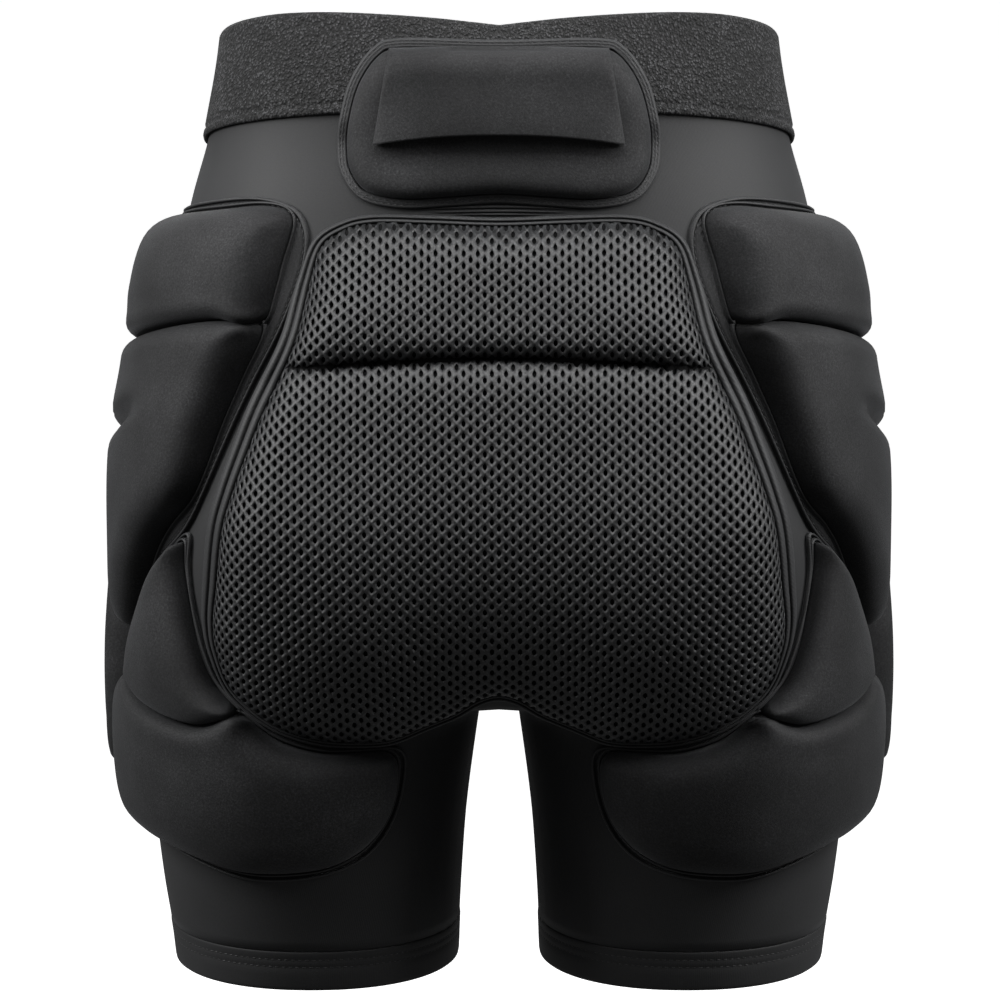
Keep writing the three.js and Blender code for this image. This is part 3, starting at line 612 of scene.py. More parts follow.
class Pieces:
    """Collects grids of points into the vertices, faces and cloth coordinates of one mesh."""

    def __init__(self):
        self.points = []
        self.faces = []
        self.cloth = []
        self.materials = []
        self.count = 0

    def add(self, points, faces, cloth, material=0):
        """Points with their cloth coordinates, and faces that count from the first of them."""
        self.points.append(points)
        self.cloth.append(cloth)
        self.faces.extend([[self.count + i for i in face] for face in faces])
        self.materials.extend([material] * len(faces))
        self.count += len(points)

    def grid(self, points, cloth, round_rows=False, round_columns=True, flip=False, material=0):
        """Rows of points joined by quads, closed round the columns or the rows where told."""
        rows, columns = points.shape[:2]
        j, i = np.meshgrid(
            np.arange(rows if round_rows else rows - 1),
            np.arange(columns if round_columns else columns - 1), indexing="ij")
        j, i = j.ravel(), i.ravel()
        down, right = (j + 1) % rows, (i + 1) % columns
        faces = np.stack([
            j * columns + i, down * columns + i, down * columns + right, j * columns + right], -1)
        if flip:
            faces = faces[:, ::-1]
        self.add(points.reshape(-1, 3), faces.tolist(), cloth.reshape(-1, 2), material)

    def mirrored(self):
        """The same grids on the wearer's other side."""
        other = Pieces()
        other.points = [p * (-1, 1, 1) for p in self.points]
        other.faces = [face[::-1] for face in self.faces]
        other.cloth = self.cloth
        other.materials = self.materials
        other.count = self.count
        return other

    def joined(self, other):
        """Both sets of grids in one mesh."""
        both = Pieces()
        both.points = self.points + other.points
        both.cloth = self.cloth + other.cloth
        both.faces = self.faces + [[self.count + i for i in face] for face in other.faces]
        both.materials = self.materials + other.materials
        both.count = self.count + other.count
        return both

    def object(self, name, materials):
        """The mesh object, smooth and with its finishes."""
        points = np.vstack(self.points) * MM
        mesh = bpy.data.meshes.new(name)
        mesh.from_pydata(points.tolist(), [], self.faces)
        layer = mesh.uv_layers.new(name="cloth")
        corners = np.empty(len(mesh.loops), np.int32)
        mesh.loops.foreach_get("vertex_index", corners)
        layer.data.foreach_set("uv", (np.vstack(self.cloth) * MM)[corners].ravel())
        mesh.polygons.foreach_set("use_smooth", np.ones(len(mesh.polygons), bool))
        mesh.polygons.foreach_set("material_index", np.array(self.materials, np.int32))
        for material in materials:
            mesh.materials.append(material)
        mesh.validate()
        mesh.update()
        piece = bpy.data.objects.new(name, mesh)
        bpy.context.scene.collection.objects.link(piece)
        return piece


def dress(piece, node):
    """The piece rides on the body and stands for its node."""
    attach(piece, "root")
    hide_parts(node)
    return piece


def add_rings(pieces, chart, rings, heights, flip):
    """A skin over rings of places at their heights."""
    points = chart.point(rings[..., 0], rings[..., 1], heights)
    pieces.grid(points, rings, flip=flip)


def add_face(pieces, chart, rings, heights, under):
    """A face with the wall round it and the flat back that closes it."""
    left = runs_left(rings[0])
    add_rings(pieces, chart, rings, heights, left)
    add_rings(pieces, chart, under, np.full(under.shape[:2], GAP), not left)
    wall = np.array([rings[0], rings[0]])
    add_rings(pieces, chart, wall, np.array([np.full(len(rings[0]), GAP), heights[0]]), left)


def add_lobe(pieces, chart, outline, thick, seam=None, fold=None, shoulder=15.0, seam_start=8.0,
             seam_shoulder=9.0, crown=1.2, start=2.0, extra=None):
    """A stuffed lobe: a round shoulder up from its edge, steeper along a sewn seam, and a closed back."""
    rings, distances = rings_of(outline, FIRST_RINGS, MIDDLE_RINGS)
    marked = np.zeros(len(outline))
    if seam is not None:
        marked = 1 - smoothstep(near_curve(outline, seam), 1.5, 7)
    soft, along = soft_field(rings, outline, marked)
    low = start + (seam_start - start) * along
    wide = shoulder + (seam_shoulder - shoulder) * along
    d = distances + (soft - distances) * smoothstep(distances, 2, 8)
    middle = smoothstep(d, 0.6 * shoulder, d.max())
    heights = low + (thick - crown - low) * rise(d / wide) + crown * middle
    u, z = rings[..., 0], rings[..., 1]
    heights = heights + UNEVEN * np.sin(u / 11 + 1.3) * np.sin(z / 13 + 0.4) * smoothstep(d, 6, 20)
    if fold is not None:
        off = near_curve(rings, fold)
        fades = smoothstep(u, fold[0, 0], fold[0, 0] + FOLD_FADE)
        heights = heights - FOLD_DEEP * fades * np.exp(-(off / FOLD_WIDE) ** 2) * smoothstep(d, 0, 5)
    if extra is not None:
        heights = heights + extra(u, z) * smoothstep(d, 0, 5)
    under, _ = rings_of(outline, BACK_RINGS, 8)
    add_face(pieces, chart, rings, heights, under)


def add_band(pieces, chart, outline, profile, widths=1.0, material=0):
    """A closed band along an outline, from its section of insets and heights."""
    normals = inward(outline)
    widths = np.broadcast_to(np.asarray(widths, float), len(outline))
    rings = np.array([outline + normals * (inset * widths)[:, None] for inset, _ in profile])
    heights = np.array([np.full(len(outline), height) for _, height in profile])
    points = chart.point(rings[..., 0], rings[..., 1], heights)
    pieces.grid(points, rings, round_rows=True, flip=runs_left(outline), material=material)


def groove(distance, place, deep, wide):
    """Depth of a rounded groove at distances from what it runs along."""
    return deep * np.exp(-((distance - place) / wide) ** 2)


def add_sheet(pieces, chart, outline, wall, lobes):
    """A flat sewn sheet with a rounded edge, a stitched groove and a dip round each lobe, closed behind."""
    insets = [0, 0.15, 0.4, 0.9, *np.arange(1.4, 14, 0.6), 16]
    rings, d = rings_of(outline, insets, 6)
    heights = SHEET_EDGE + (wall - SHEET_EDGE) * rise(d / SHEET_EDGE)
    heights = heights - groove(d, *EDGE_GROOVE) - groove(d, *STITCH_GROOVE)
    for lobe in lobes:
        off = near_curve(rings, closed_line(lobe))
        for foot in FOOT_GROOVES:
            heights = heights - groove(off, *foot)
    under, _ = rings_of(outline, BACK_RINGS[:3], 6)
    add_face(pieces, chart, rings, np.maximum(heights, SHEET_LEAST), under)


def add_stitches(pieces, path, pitch, material=1):
    """Thread along a path of surface points, each stitch a small rounded bar that dips at its ends."""
    normals = outward(path)
    gone = np.concatenate([[0], np.cumsum(np.linalg.norm(np.diff(path, axis=0), axis=1))])
    count = int(gone[-1] / pitch)
    at = (np.arange(count) + 0.5) * gone[-1] / count

    def read(places, values):
        return np.stack([np.interp(places, gone, values[:, k]) for k in range(3)], -1)

    middle = read(at, path)
    along = read(at + 0.4, path) - read(at - 0.4, path)
    along /= np.maximum(np.linalg.norm(along, axis=1, keepdims=True), 1e-9)
    up = read(at, normals)
    up -= along * np.sum(up * along, 1, keepdims=True)
    up /= np.linalg.norm(up, axis=1, keepdims=True)
    across = np.cross(along, up)
    sides, last = STITCH_SIDES, len(STITCH_SECTIONS) - 1
    turn = np.linspace(0, 2 * np.pi, sides, endpoint=False)
    ring = across[:, None] * np.cos(turn)[:, None] + up[:, None] * np.sin(turn)[:, None]
    bars = []
    for t, size, dip in STITCH_SECTIONS:
        centre = middle + along * (t * STITCH_LENGTH) - up * (STITCH_SUNK + dip * STITCH_DIP * STITCH_THICK)
        bars.append(centre[:, None] + ring * (0.5 * STITCH_THICK * size))
    bars = np.stack(bars, 1)
    each = sides * (last + 1)
    quads = []
    for start in range(0, last * sides, sides):
        for k in range(sides):
            after = (k + 1) % sides
            quads.append([start + k, start + after, start + sides + after, start + sides + k])
    quads += [list(range(sides - 1, -1, -1)), list(range(last * sides, each))]
    faces = [[each * n + i for i in quad] for n in range(count) for quad in quads]
    pieces.add(bars.reshape(-1, 3), faces, np.repeat(np.stack([at, at * 0], -1), each, 0), material)


def stitched_outline(pieces, chart, outline, inset, height, pitch):
    """Stitches along an outline at an inset."""
    curve = outline + inward(outline) * inset
    path = chart.point(curve[:, 0], curve[:, 1], np.full(len(curve), height))
    add_stitches(pieces, closed_line(path), pitch)


# --- Finishes ---------------------------------------------------------------------------------

def new_finish(name, colour, roughness, sheen, specular):
    """A material with its shader, its colour and its constant sockets set."""
    material = bpy.data.materials.new(name)
    material.use_nodes = True
    tree = material.node_tree
    shader = tree.nodes["Principled BSDF"]
    shader.inputs["Base Color"].default_value = (*colour, 1)
    shader.inputs["Roughness"].default_value = roughness
    shader.inputs["Sheen Weight"].default_value = sheen
    shader.inputs["Sheen Roughness"].default_value = 0.45
    shader.inputs["Sheen Tint"].default_value = (0.8, 0.82, 0.86, 1)
    shader.inputs["Specular IOR Level"].default_value = specular
    return material, tree, shader


def cloth_place(tree, across, down):
    """Cloth coordinates scaled to threads: across and down are threads in a metre."""
    place = tree.nodes.new("ShaderNodeTexCoord")
    scale = tree.nodes.new("ShaderNodeMapping")
    scale.inputs["Scale"].default_value = (across, down, 1)
    tree.links.new(place.outputs["UV"], scale.inputs["Vector"])
    return scale.outputs["Vector"]


def solid_place(tree, size):
    """Coordinates through the object itself: size is grains in a metre."""
    place = tree.nodes.new("ShaderNodeTexCoord")
    scale = tree.nodes.new("ShaderNodeMapping")
    scale.inputs["Scale"].default_value = (size, size, size)
    tree.links.new(place.outputs["Object"], scale.inputs["Vector"])
    return scale.outputs["Vector"]


def noise(tree, vector, detail=2.0, rough=0.6):
    """Noise of a scaled place."""
    node = tree.nodes.new("ShaderNodeTexNoise")
    node.inputs["Scale"].default_value = 1.0
    node.inputs["Detail"].default_value = detail
    node.inputs["Roughness"].default_value = rough
    tree.links.new(vector, node.inputs["Vector"])
    return node.outputs["Fac"]


def shade(colour, share):
    """A share of a colour."""
    return tuple(min(c * share, 1.0) for c in colour)


def toned(tree, shader, value, colour, stops):
    """Base colour that follows a value: each stop is a place and a share of the colour."""
    node = tree.nodes.new("ShaderNodeValToRGB")
    elements = node.color_ramp.elements
    while len(elements) < len(stops):
        elements.new(0.5)
    for element, (place, share) in zip(elements, stops):
        element.position = place
        element.color = (*shade(colour, share), 1)
    tree.links.new(value, node.inputs["Fac"])
    tree.links.new(node.outputs["Color"], shader.inputs["Base Color"])


def arithmetic(tree, operation, first, second):
    """A Math node on two sockets or numbers."""
    node = tree.nodes.new("ShaderNodeMath")
    node.operation = operation
    for socket, value in zip(node.inputs, (first, second)):
        if isinstance(value, (int, float)):
            socket.default_value = value
        else:
            tree.links.new(value, socket)
    return node.outputs["Value"]


def weighed(tree, first, first_share, second, second_share):
    """Two values added by their shares."""
    return arithmetic(
        tree, "ADD", arithmetic(tree, "MULTIPLY", first, first_share),
        arithmetic(tree, "MULTIPLY", second, second_share))


def bump(tree, shader, height, distance, strength):
    """Relief of a height, in metres."""
    node = tree.nodes.new("ShaderNodeBump")
    node.inputs["Strength"].default_value = strength
    node.inputs["Distance"].default_value = distance
    tree.links.new(height, node.inputs["Height"])
    tree.links.new(node.outputs["Normal"], shader.inputs["Normal"])


def rough_between(tree, shader, value, low, high):
    """Roughness that follows a value between two limits."""
    node = tree.nodes.new("ShaderNodeMapRange")
    node.inputs["To Min"].default_value = low
    node.inputs["To Max"].default_value = high
    tree.links.new(value, node.inputs["Value"])
    tree.links.new(node.outputs["Result"], shader.inputs["Roughness"])


def waves(tree, vector, direction):
    """Fine even threads along one direction of the cloth."""
    node = tree.nodes.new("ShaderNodeTexWave")
    node.wave_type = "BANDS"
    node.bands_direction = direction
    node.wave_profile = "SIN"
    node.inputs["Scale"].default_value = 1.0
    node.inputs["Distortion"].default_value = 0.6
    node.inputs["Detail"].default_value = 1.0
    tree.links.new(vector, node.inputs["Vector"])
    return node.outputs["Fac"]


def stretch_cloth(colour):
    """Smooth knitted stretch cloth: fine ribs, broad uneven tone and a soft sheen."""
    material, tree, shader = new_finish("stretch_cloth", colour, roughness=0.62, sheen=0.03, specular=0.18)
    broad = noise(tree, solid_place(tree, 16))
    fine = noise(tree, solid_place(tree, 1500))
    toned(tree, shader, weighed(tree, broad, 0.55, fine, 0.45), colour, [(0.3, 0.72), (0.5, 1), (0.7, 1.28)])
    ribs = waves(tree, cloth_place(tree, 420, 420), "X")
    relief = arithmetic(tree, "ADD", arithmetic(tree, "MULTIPLY", ribs, 0.5), fine)
    bump(tree, shader, relief, distance=0.00006, strength=0.6)
    rough_between(tree, shader, broad, 0.55, 0.72)
    return material


def pad_cloth(colour):
    """Brushed cloth over foam: a speckle of short fibres on a dark ground."""
    material, tree, shader = new_finish("pad_cloth", colour, roughness=0.7, sheen=0.05, specular=0.14)
    speckle = noise(tree, solid_place(tree, 1150), detail=4.0, rough=0.75)
    broad = noise(tree, solid_place(tree, 22))
    mixed = weighed(tree, speckle, 0.7, broad, 0.3)
    toned(tree, shader, mixed, colour, [(0.36, 0.45), (0.5, 1), (0.6, 1.7), (0.7, 3.2)])
    bump(tree, shader, speckle, distance=0.00016, strength=0.7)
    rough_between(tree, shader, speckle, 0.8, 0.6)
    return material


def mesh_yarn(colour):
    """Yarn of the spacer mesh: slightly shiny filaments with brighter strands."""
    material, tree, shader = new_finish("mesh_yarn", colour, roughness=0.42, sheen=0.02, specular=0.4)
    strands = noise(tree, cloth_place(tree, 1500, 900), detail=4.0, rough=0.8)
    broad = noise(tree, cloth_place(tree, 420, 300))
    mixed = weighed(tree, strands, 0.65, broad, 0.35)
    toned(tree, shader, mixed, colour, [(0.38, 0.25), (0.48, 0.8), (0.56, 2.4), (0.66, 6.0)])
    bump(tree, shader, strands, distance=0.0003, strength=0.9)
    rough_between(tree, shader, broad, 0.34, 0.56)
    return material


def spacer_foam(colour):
    """Foam and filaments that show through the mesh's holes, in the yarn's colour darkened: painted shade in
    the holes.
    """
    # The yarn's colour cut to a quarter and less is painted shade inside the mesh's holes
    material, tree, shader = new_finish(
        "spacer_foam", shade(colour, 0.25), roughness=0.9, sheen=0.0, specular=0.1)
    grain = noise(tree, solid_place(tree, 1800))
    toned(tree, shader, grain, colour, [(0.35, 0.12), (0.7, 0.5)])
    bump(tree, shader, grain, distance=0.0002, strength=0.5)
    return material


def looped_elastic(colour):
    """Elastic with a face of short loops: bright flecks on a dark nubby ground."""
    material, tree, shader = new_finish("looped_elastic", colour, roughness=0.6, sheen=0.03, specular=0.25)
    loops = tree.nodes.new("ShaderNodeTexVoronoi")
    loops.feature = "F1"
    loops.inputs["Scale"].default_value = 1.0
    loops.inputs["Randomness"].default_value = 1.0
    tree.links.new(cloth_place(tree, 680, 760), loops.inputs["Vector"])
    flecks = noise(tree, cloth_place(tree, 560, 640), detail=4.0, rough=0.75)
    broad = noise(tree, solid_place(tree, 40))
    nubs = arithmetic(tree, "SUBTRACT", 0.62, loops.outputs["Distance"])
    patches = arithmetic(tree, "MULTIPLY", arithmetic(tree, "SUBTRACT", broad, 0.5), 0.15)
    mixed = arithmetic(tree, "ADD", weighed(tree, flecks, 0.6, nubs, 0.4), patches)
    toned(tree, shader, mixed, colour, [(0.28, 0.04), (0.36, 0.3), (0.43, 2.8), (0.53, 8.0)])
    bump(tree, shader, mixed, distance=0.0022, strength=1.0)
    rough_between(tree, shader, flecks, 0.8, 0.4)
    return material


def ribbed_binding(colour):
    """Close cloth of the borders: fine cross threads on a smooth rounded rib."""
    material, tree, shader = new_finish("ribbed_binding", colour, roughness=0.55, sheen=0.04, specular=0.25)
    fine = noise(tree, solid_place(tree, 1700))
    threads = waves(tree, cloth_place(tree, 350, 350), "DIAGONAL")
    toned(tree, shader, fine, colour, [(0.35, 0.7), (0.55, 1), (0.72, 1.6)])
    relief = arithmetic(tree, "ADD", fine, arithmetic(tree, "MULTIPLY", threads, 0.6))
    bump(tree, shader, relief, distance=0.0001, strength=0.6)
    rough_between(tree, shader, fine, 0.5, 0.68)
    return material


def twisted_thread(colour):
    """Sewing thread: a twist along each stitch."""
    material, tree, shader = new_finish("twisted_thread", colour, roughness=0.5, sheen=0.03, specular=0.3)
    twist = waves(tree, solid_place(tree, 900), "DIAGONAL")
    toned(tree, shader, twist, colour, [(0.2, 0.6), (0.8, 1.3)])
    bump(tree, shader, twist, distance=0.0001, strength=0.5)
    return material


FINISHES = {
    "stretch": stretch_cloth,
    "pad": pad_cloth,
    "mesh": mesh_yarn,
    "elastic": looped_elastic,
    "binding": ribbed_binding,
    "thread": twisted_thread,
}
MADE_FINISHES = {}


def finish_of(context, name):
    """A finish by name, made once from the colours on the panel."""
    if name not in MADE_FINISHES:
        colours = context.scene.hip_pad_colours
        # The foam under the mesh takes the yarn's colour, darkened into painted shade for the holes
        if name == "foam":
            MADE_FINISHES[name] = spacer_foam(tuple(colours.mesh))
        else:
            MADE_FINISHES[name] = FINISHES[name](tuple(getattr(colours, name)))
    return MADE_FINISHES[name]


# --- The shell, the hems and the waistband ----------------------------------------------------

# Numbers of points round half the torso and in the crotch curve, and of rows in the parts of the shell
SHELL_ARC = 64
SHELL_ROWS = 44
SHELL_INNER = 22
SHELL_BRIDGE = 4
SHELL_LEG_ROWS = 20
# Furthest that the crotch curve is looked for, as a share of its first guess
CROTCH_REACH = 3.0

# Radius that cloth coordinates are taken at round the shell
CLOTH_RADIUS = 140

# Folds under the lumbar pad: half width, z at the middle, drop at the ends, half depth and height
WAIST_FOLDS = [(38.0, -43.9, 1.6, 0.8, 1.1), (30.0, -45.6, 0.9, 0.75, 1.3), (20.0, -47.0, 0.2, 0.6, 1.0)]


def shell_torso():
    """Rows of the right half of the shell from the waist to the crotch row, from back to front."""
    t = np.linspace(0, 1, SHELL_ROWS)[:, None]

    def height(y):
        return (low_of_band(y) + BAND_LAP) * (1 - t) - CROTCH_ROW * RISE * t

    back_y = np.full(t.shape, -HIP_BACK)
    front_y = np.full(t.shape, HIP_FRONT)
    for _ in range(SETTLINGS):
        back_y = reach(0, 0, height(back_y), 0, -1, 0)[..., 1]
        front_y = reach(0, 0, height(front_y), 0, 1, 0)[..., 1]
    centre = axis_at(height(0 * t))
    first = np.arctan2(-centre, -back_y) / RADIAN
    last = 180 + np.arctan2(centre, front_y) / RADIAN
    turn = first + (last - first) * np.linspace(0, 1, SHELL_ARC + 1)
    p = around(turn, height(np.zeros_like(turn)), 0)
    for _ in range(SETTLINGS):
        p = around(turn, height(p[..., 1]), 0)
    p[:, 0] = np.concatenate([0 * t, back_y, height(back_y)], 1)
    p[:, -1] = np.concatenate([0 * t, front_y, height(front_y)], 1)
    return p


def shell_crotch(front, back):
    """Crotch curve on the centre plane, from the front down and round to the back."""
    middle = (front[1] + back[1]) / 2
    turn = np.linspace(0, np.pi, SHELL_INNER + 1)[1:-1]
    dy = np.cos(turn) * (front[1] - middle)
    dz = -np.sin(turn) * RISE * (1 - CROTCH_ROW)
    near, far = np.zeros_like(turn), np.full_like(turn, CROTCH_REACH)
    for _ in range(CROTCH_HALVINGS):
        mid = (near + far) / 2
        inside = body(0 * mid, middle + dy * mid, front[2] + dz * mid) < 0
        near = np.where(inside, mid, near)
        far = np.where(inside, far, mid)
    return np.stack([0 * near, middle + dy * near, front[2] + dz * near], -1)


def shell_legs(torso):
    """Closed rows of the right leg from the crotch to the hem."""
    last = torso[-1]
    seam = np.vstack([last, shell_crotch(last[-1], last[0]), last[:1]])
    turns = np.arctan2(seam[:, 0] - axis_at(seam[:, 2]), -seam[:, 1]) / RADIAN
    hem = -DROP + HEM_HEIGHT + GAP
    level = -FIRST_LEG_ROW * RISE
    rows = [seam]
    for t in np.linspace(0, 1, SHELL_BRIDGE + 1)[1:]:
        rows.append(around(turns, seam[:, 2] * (1 - t) + level * t, 0))
    for z in np.linspace(level, hem, SHELL_LEG_ROWS + 1)[1:]:
        rows.append(around(turns, np.full(len(turns), z), 0))
    return np.array(rows)


def moved_out(p, lift):
    """Points moved along the form's normals, kept on the centre plane where they lie on it."""
    n = outward(p)
    n[np.abs(p[..., 0]) < 1e-6, 0] = 0
    n /= np.linalg.norm(n, axis=-1, keepdims=True)
    return p + n * lift


def cloth_of(p):
    """Cloth coordinates of shell points: round the body and down."""
    return np.stack([np.arctan2(p[..., 0], -p[..., 1]) * CLOTH_RADIUS, p[..., 2]], -1)


def shell_half():
    """Outer and inner face of the right half of the shell, joined at the waist and the hem."""
    half = Pieces()
    torso = shell_torso()
    legs = shell_legs(torso)
    faces = []
    for lift in (0.0, -CLOTH):
        upper, lower = moved_out(torso, lift), moved_out(legs, lift)
        upper[0, :, 2] = torso[0, :, 2]
        lower[-1, :, 2] = legs[-1, :, 2]
        faces.append((upper, lower))
    (upper, lower), (upper_in, lower_in) = faces
    half.grid(upper, cloth_of(upper), round_columns=False)
    half.grid(lower, cloth_of(lower), round_columns=False)
    half.grid(upper_in, cloth_of(upper_in), round_columns=False, flip=True)
    half.grid(lower_in, cloth_of(lower_in), round_columns=False, flip=True)
    for edge, other in ((upper_in[0], upper[0]), (lower[-1], lower_in[-1])):
        strip = np.array([edge, other])
        half.grid(strip, cloth_of(strip), round_columns=False)
    return half


def weld(piece):
    """Closes the seams between the grids of one mesh."""
    made = bmesh.new()
    made.from_mesh(piece.data)
    bmesh.ops.remove_doubles(made, verts=made.verts, dist=WELD * MM)
    made.to_mesh(piece.data)
    made.free()


def add_fold(pieces, half_width, z, dip, wide, high):
    """A small fold of cloth across the back, tapering to both ends."""
    x = np.linspace(-half_width, half_width, 60)[None, :]
    across = np.linspace(-1, 1, 9)[:, None]
    taper = (1 - (x / half_width) ** 2) ** 0.7
    up = z - dip * (x / half_width) ** 2 - across * wide * taper
    lift = high * taper * (1 - across**2) ** 0.8 - 0.05
    points = behind(x + 0 * across, up, lift)
    pieces.grid(points, cloth_of(points), round_columns=False)


class HIPPAD_OT_shell(bpy.types.Operator):
    """Make the hollow shell of stretch cloth"""

    bl_idname = "hippad.shell"
    bl_label = "Shell"

    def execute(self, context):
        half = shell_half()
        both = half.joined(half.mirrored())
        for half_width, z, dip, wide, high in WAIST_FOLDS:
            add_fold(both, half_width, z, dip, wide, high)
        shell = both.object("shell_cloth", [finish_of(context, "stretch")])
        weld(shell)
        dress(shell, "shell")
        return {"FINISHED"}


# Section of a folded hem: depth below its upper edge, and lift over the form
HEM_SECTION = np.array([
    (0, 0), (0.25, 0.2), (1, 0.3), (3.2, 0.3), (3.7, 0.1), (4.2, 0.3), (6.6, 0.3), (7.1, 0.1), (7.6, 0.3),
    (11, 0.35), (16, 0.3), (17.4, 0.1), (18, -0.7), (18, -1.4), (17.4, -2.3), (16, -2.5), (6, -2.5),
    (0.4, -2.4), (0, -1.9),
])
HEM_STITCHES = (3.7, 7.1)
HEM_STITCH_LIFT = 0.3
HEM_POINTS = 200
# Cloth coordinates of a hem: millimetres in a degree, and how far a lift moves them down
HEM_DEGREE = 1.25
HEM_LIFT = 40


def make_hem(context):
    """One folded leg edge: a flat tube of cloth with two rows of stitches."""
    hem = Pieces()
    high = -DROP + HEM_HEIGHT
    turn = np.linspace(0, 360, HEM_POINTS, endpoint=False)
    z = high - HEM_SECTION[:, :1] + 0 * turn
    lift = HEM_SECTION[:, 1:] + 0 * turn
    hem.grid(
        around(turn + 0 * z, z, lift), np.stack([turn * HEM_DEGREE + 0 * z, z - HEM_LIFT * lift], -1),
        round_rows=True)
    pitch = context.scene.hip_pad_sizes.stitch_pitch / MM
    turn = np.linspace(-180, 180, HEM_POINTS)
    for down in HEM_STITCHES:
        add_stitches(hem, around(turn, np.full(HEM_POINTS, high - down), HEM_STITCH_LIFT), pitch)
    return hem


class HIPPAD_OT_hems(bpy.types.Operator):
    """Make the two folded and stitched leg edges"""

    bl_idname = "hippad.hems"
    bl_label = "Hems"

    def execute(self, context):
        right = make_hem(context)
        finishes = [finish_of(context, "stretch"), finish_of(context, "thread")]
        for side, made in (("right", right), ("left", right.mirrored())):
            hem = made.object("hem_cloth_" + side, finishes)
            dress(hem, "hem_" + side)
        return {"FINISHED"}


def band_points(turn, share, lift):
    """Points of the waistband: share is from its lower edge to its rim."""
    high = smooth(RIM, 1, turn) * BAND_HEIGHT
    p = around(turn, np.zeros_like(turn), lift)
    for _ in range(SETTLINGS):
        p = around(turn, low_of_band(p[..., 1]) + high * share, lift)
    return p


# Section of the waistband: share of its height from the lower edge, and lift over the form
BAND_FULL = GAP + BAND_WALL
BAND_SECTION = np.array([
    (0.998, 1.5), (0.99, 2.35), (0.965, BAND_FULL), *[(s, BAND_FULL) for s in np.linspace(0.93, 0.13, 14)],
    (0.105, 2.35), (0.085, 2.3), (0.065, BAND_FULL), (0.03, BAND_FULL), (0.008, 2.3), (0.0, 1.5),
    (0.008, 0.6), (0.04, GAP), *[(s, GAP) for s in np.linspace(0.2, 0.8, 4)], (0.97, GAP), (0.992, 0.6),
])


class HIPPAD_OT_waistband(bpy.types.Operator):
    """Make the elastic waistband"""

    bl_idname = "hippad.waistband"
    bl_label = "Waistband"

    def execute(self, context):
        turn = np.linspace(0, 180, 181)
        share = BAND_SECTION[:, :1] + 0 * turn
        lift = BAND_SECTION[:, 1:] + 0 * turn
        turns = turn + 0 * share
        lift = lift + 0.18 * np.sin(turns * 0.45) * np.sin(share * 7) * (lift > GAP + 1)
        points = band_points(turns, share, lift)
        points[:, [0, -1], 0] = 0
        cloth = np.stack([turns * 2.5, share * BAND_HEIGHT], -1)
        half = Pieces()
        half.grid(points, cloth, round_rows=True, round_columns=False)
        band = half.joined(half.mirrored()).object("waistband_elastic", [finish_of(context, "elastic")])
        weld(band)
        dress(band, "waistband")
        return {"FINISHED"}


# --- The foam pads ----------------------------------------------------------------------------

# How far the stitches lie under the flange's face
FLANGE_SINK = 0.35
# Beads along the flange's edge and the lobe's foot: sections of insets and heights
EDGE_BEAD = [(-0.15, 0.9), (-0.05, 1.9), (0.5, 2.6), (1.05, 2.1), (1.2, 1.2), (1.2, GAP), (0, GAP)]
FOOT_BEAD = [(-0.8, 1.2), (-0.95, 2.3), (-1.4, 2.8), (-1.85, 2.3), (-2.0, 1.2), (-2.0, GAP), (-0.8, GAP)]


# Turn at the middle of each pad, in degrees from the back
SIDE_MIDDLE = 75.0
THIGH_MIDDLE = 35.0
FRONT_MIDDLE = 118.0
# Softening passes of a lobe with sharp corners beside its seam
LOBE_PASSES = 4


def make_pair(context, name, made):
    """The right pad and its mirror image."""
    finishes = [finish_of(context, "pad"), finish_of(context, "thread"), finish_of(context, "binding")]
    for side, half in (("right", made), ("left", made.mirrored())):
        pad = half.object(f"{name}_foam_{side}", finishes)
        dress(pad, f"{name}_{side}")


def pad_outline(chart, outline, passes=6):
    """A pad's outline as evenly spaced points with soft corners; more passes round them more."""
    return softened(through(chart.flat(outline), SPOKES), passes)


def add_flange(pieces, context, chart, outline, lobes):
    """The flat sewn edge round a pad's lobes, with its beads and its stitches."""
    sizes = context.scene.hip_pad_sizes
    wall = sizes.flange_wall / MM
    add_sheet(pieces, chart, outline, wall, lobes)
    add_band(pieces, chart, outline, EDGE_BEAD, material=2)
    for lobe in lobes:
        add_band(pieces, chart, lobe, FOOT_BEAD, material=2)
    stitched_outline(pieces, chart, outline, FLANGE_GROOVE, wall - FLANGE_SINK, sizes.stitch_pitch / MM)


class HIPPAD_OT_side_pads(bpy.types.Operator):
    """Make the two hip pads"""

    bl_idname = "hippad.side_pads"
    bl_label = "Hip pads"

    def execute(self, context):
        chart = Turned(SIDE_MIDDLE)
        pad = Pieces()
        thick = context.scene.hip_pad_sizes.side_thick / MM
        seam = through(chart.flat(SIDE_SEAM), 80, closed=False)
        fold = through(chart.flat(SIDE_FOLD), 60, closed=False)
        upper, lower = (pad_outline(chart, lobe, LOBE_PASSES) for lobe in (SIDE_UPPER, SIDE_LOWER))
        add_flange(pad, context, chart, pad_outline(chart, SIDE_FLANGE), [upper, lower])
        add_lobe(pad, chart, upper, thick, seam=seam)
        add_lobe(pad, chart, lower, thick, seam=seam, fold=fold)
        make_pair(context, "side_pad", pad)
        return {"FINISHED"}


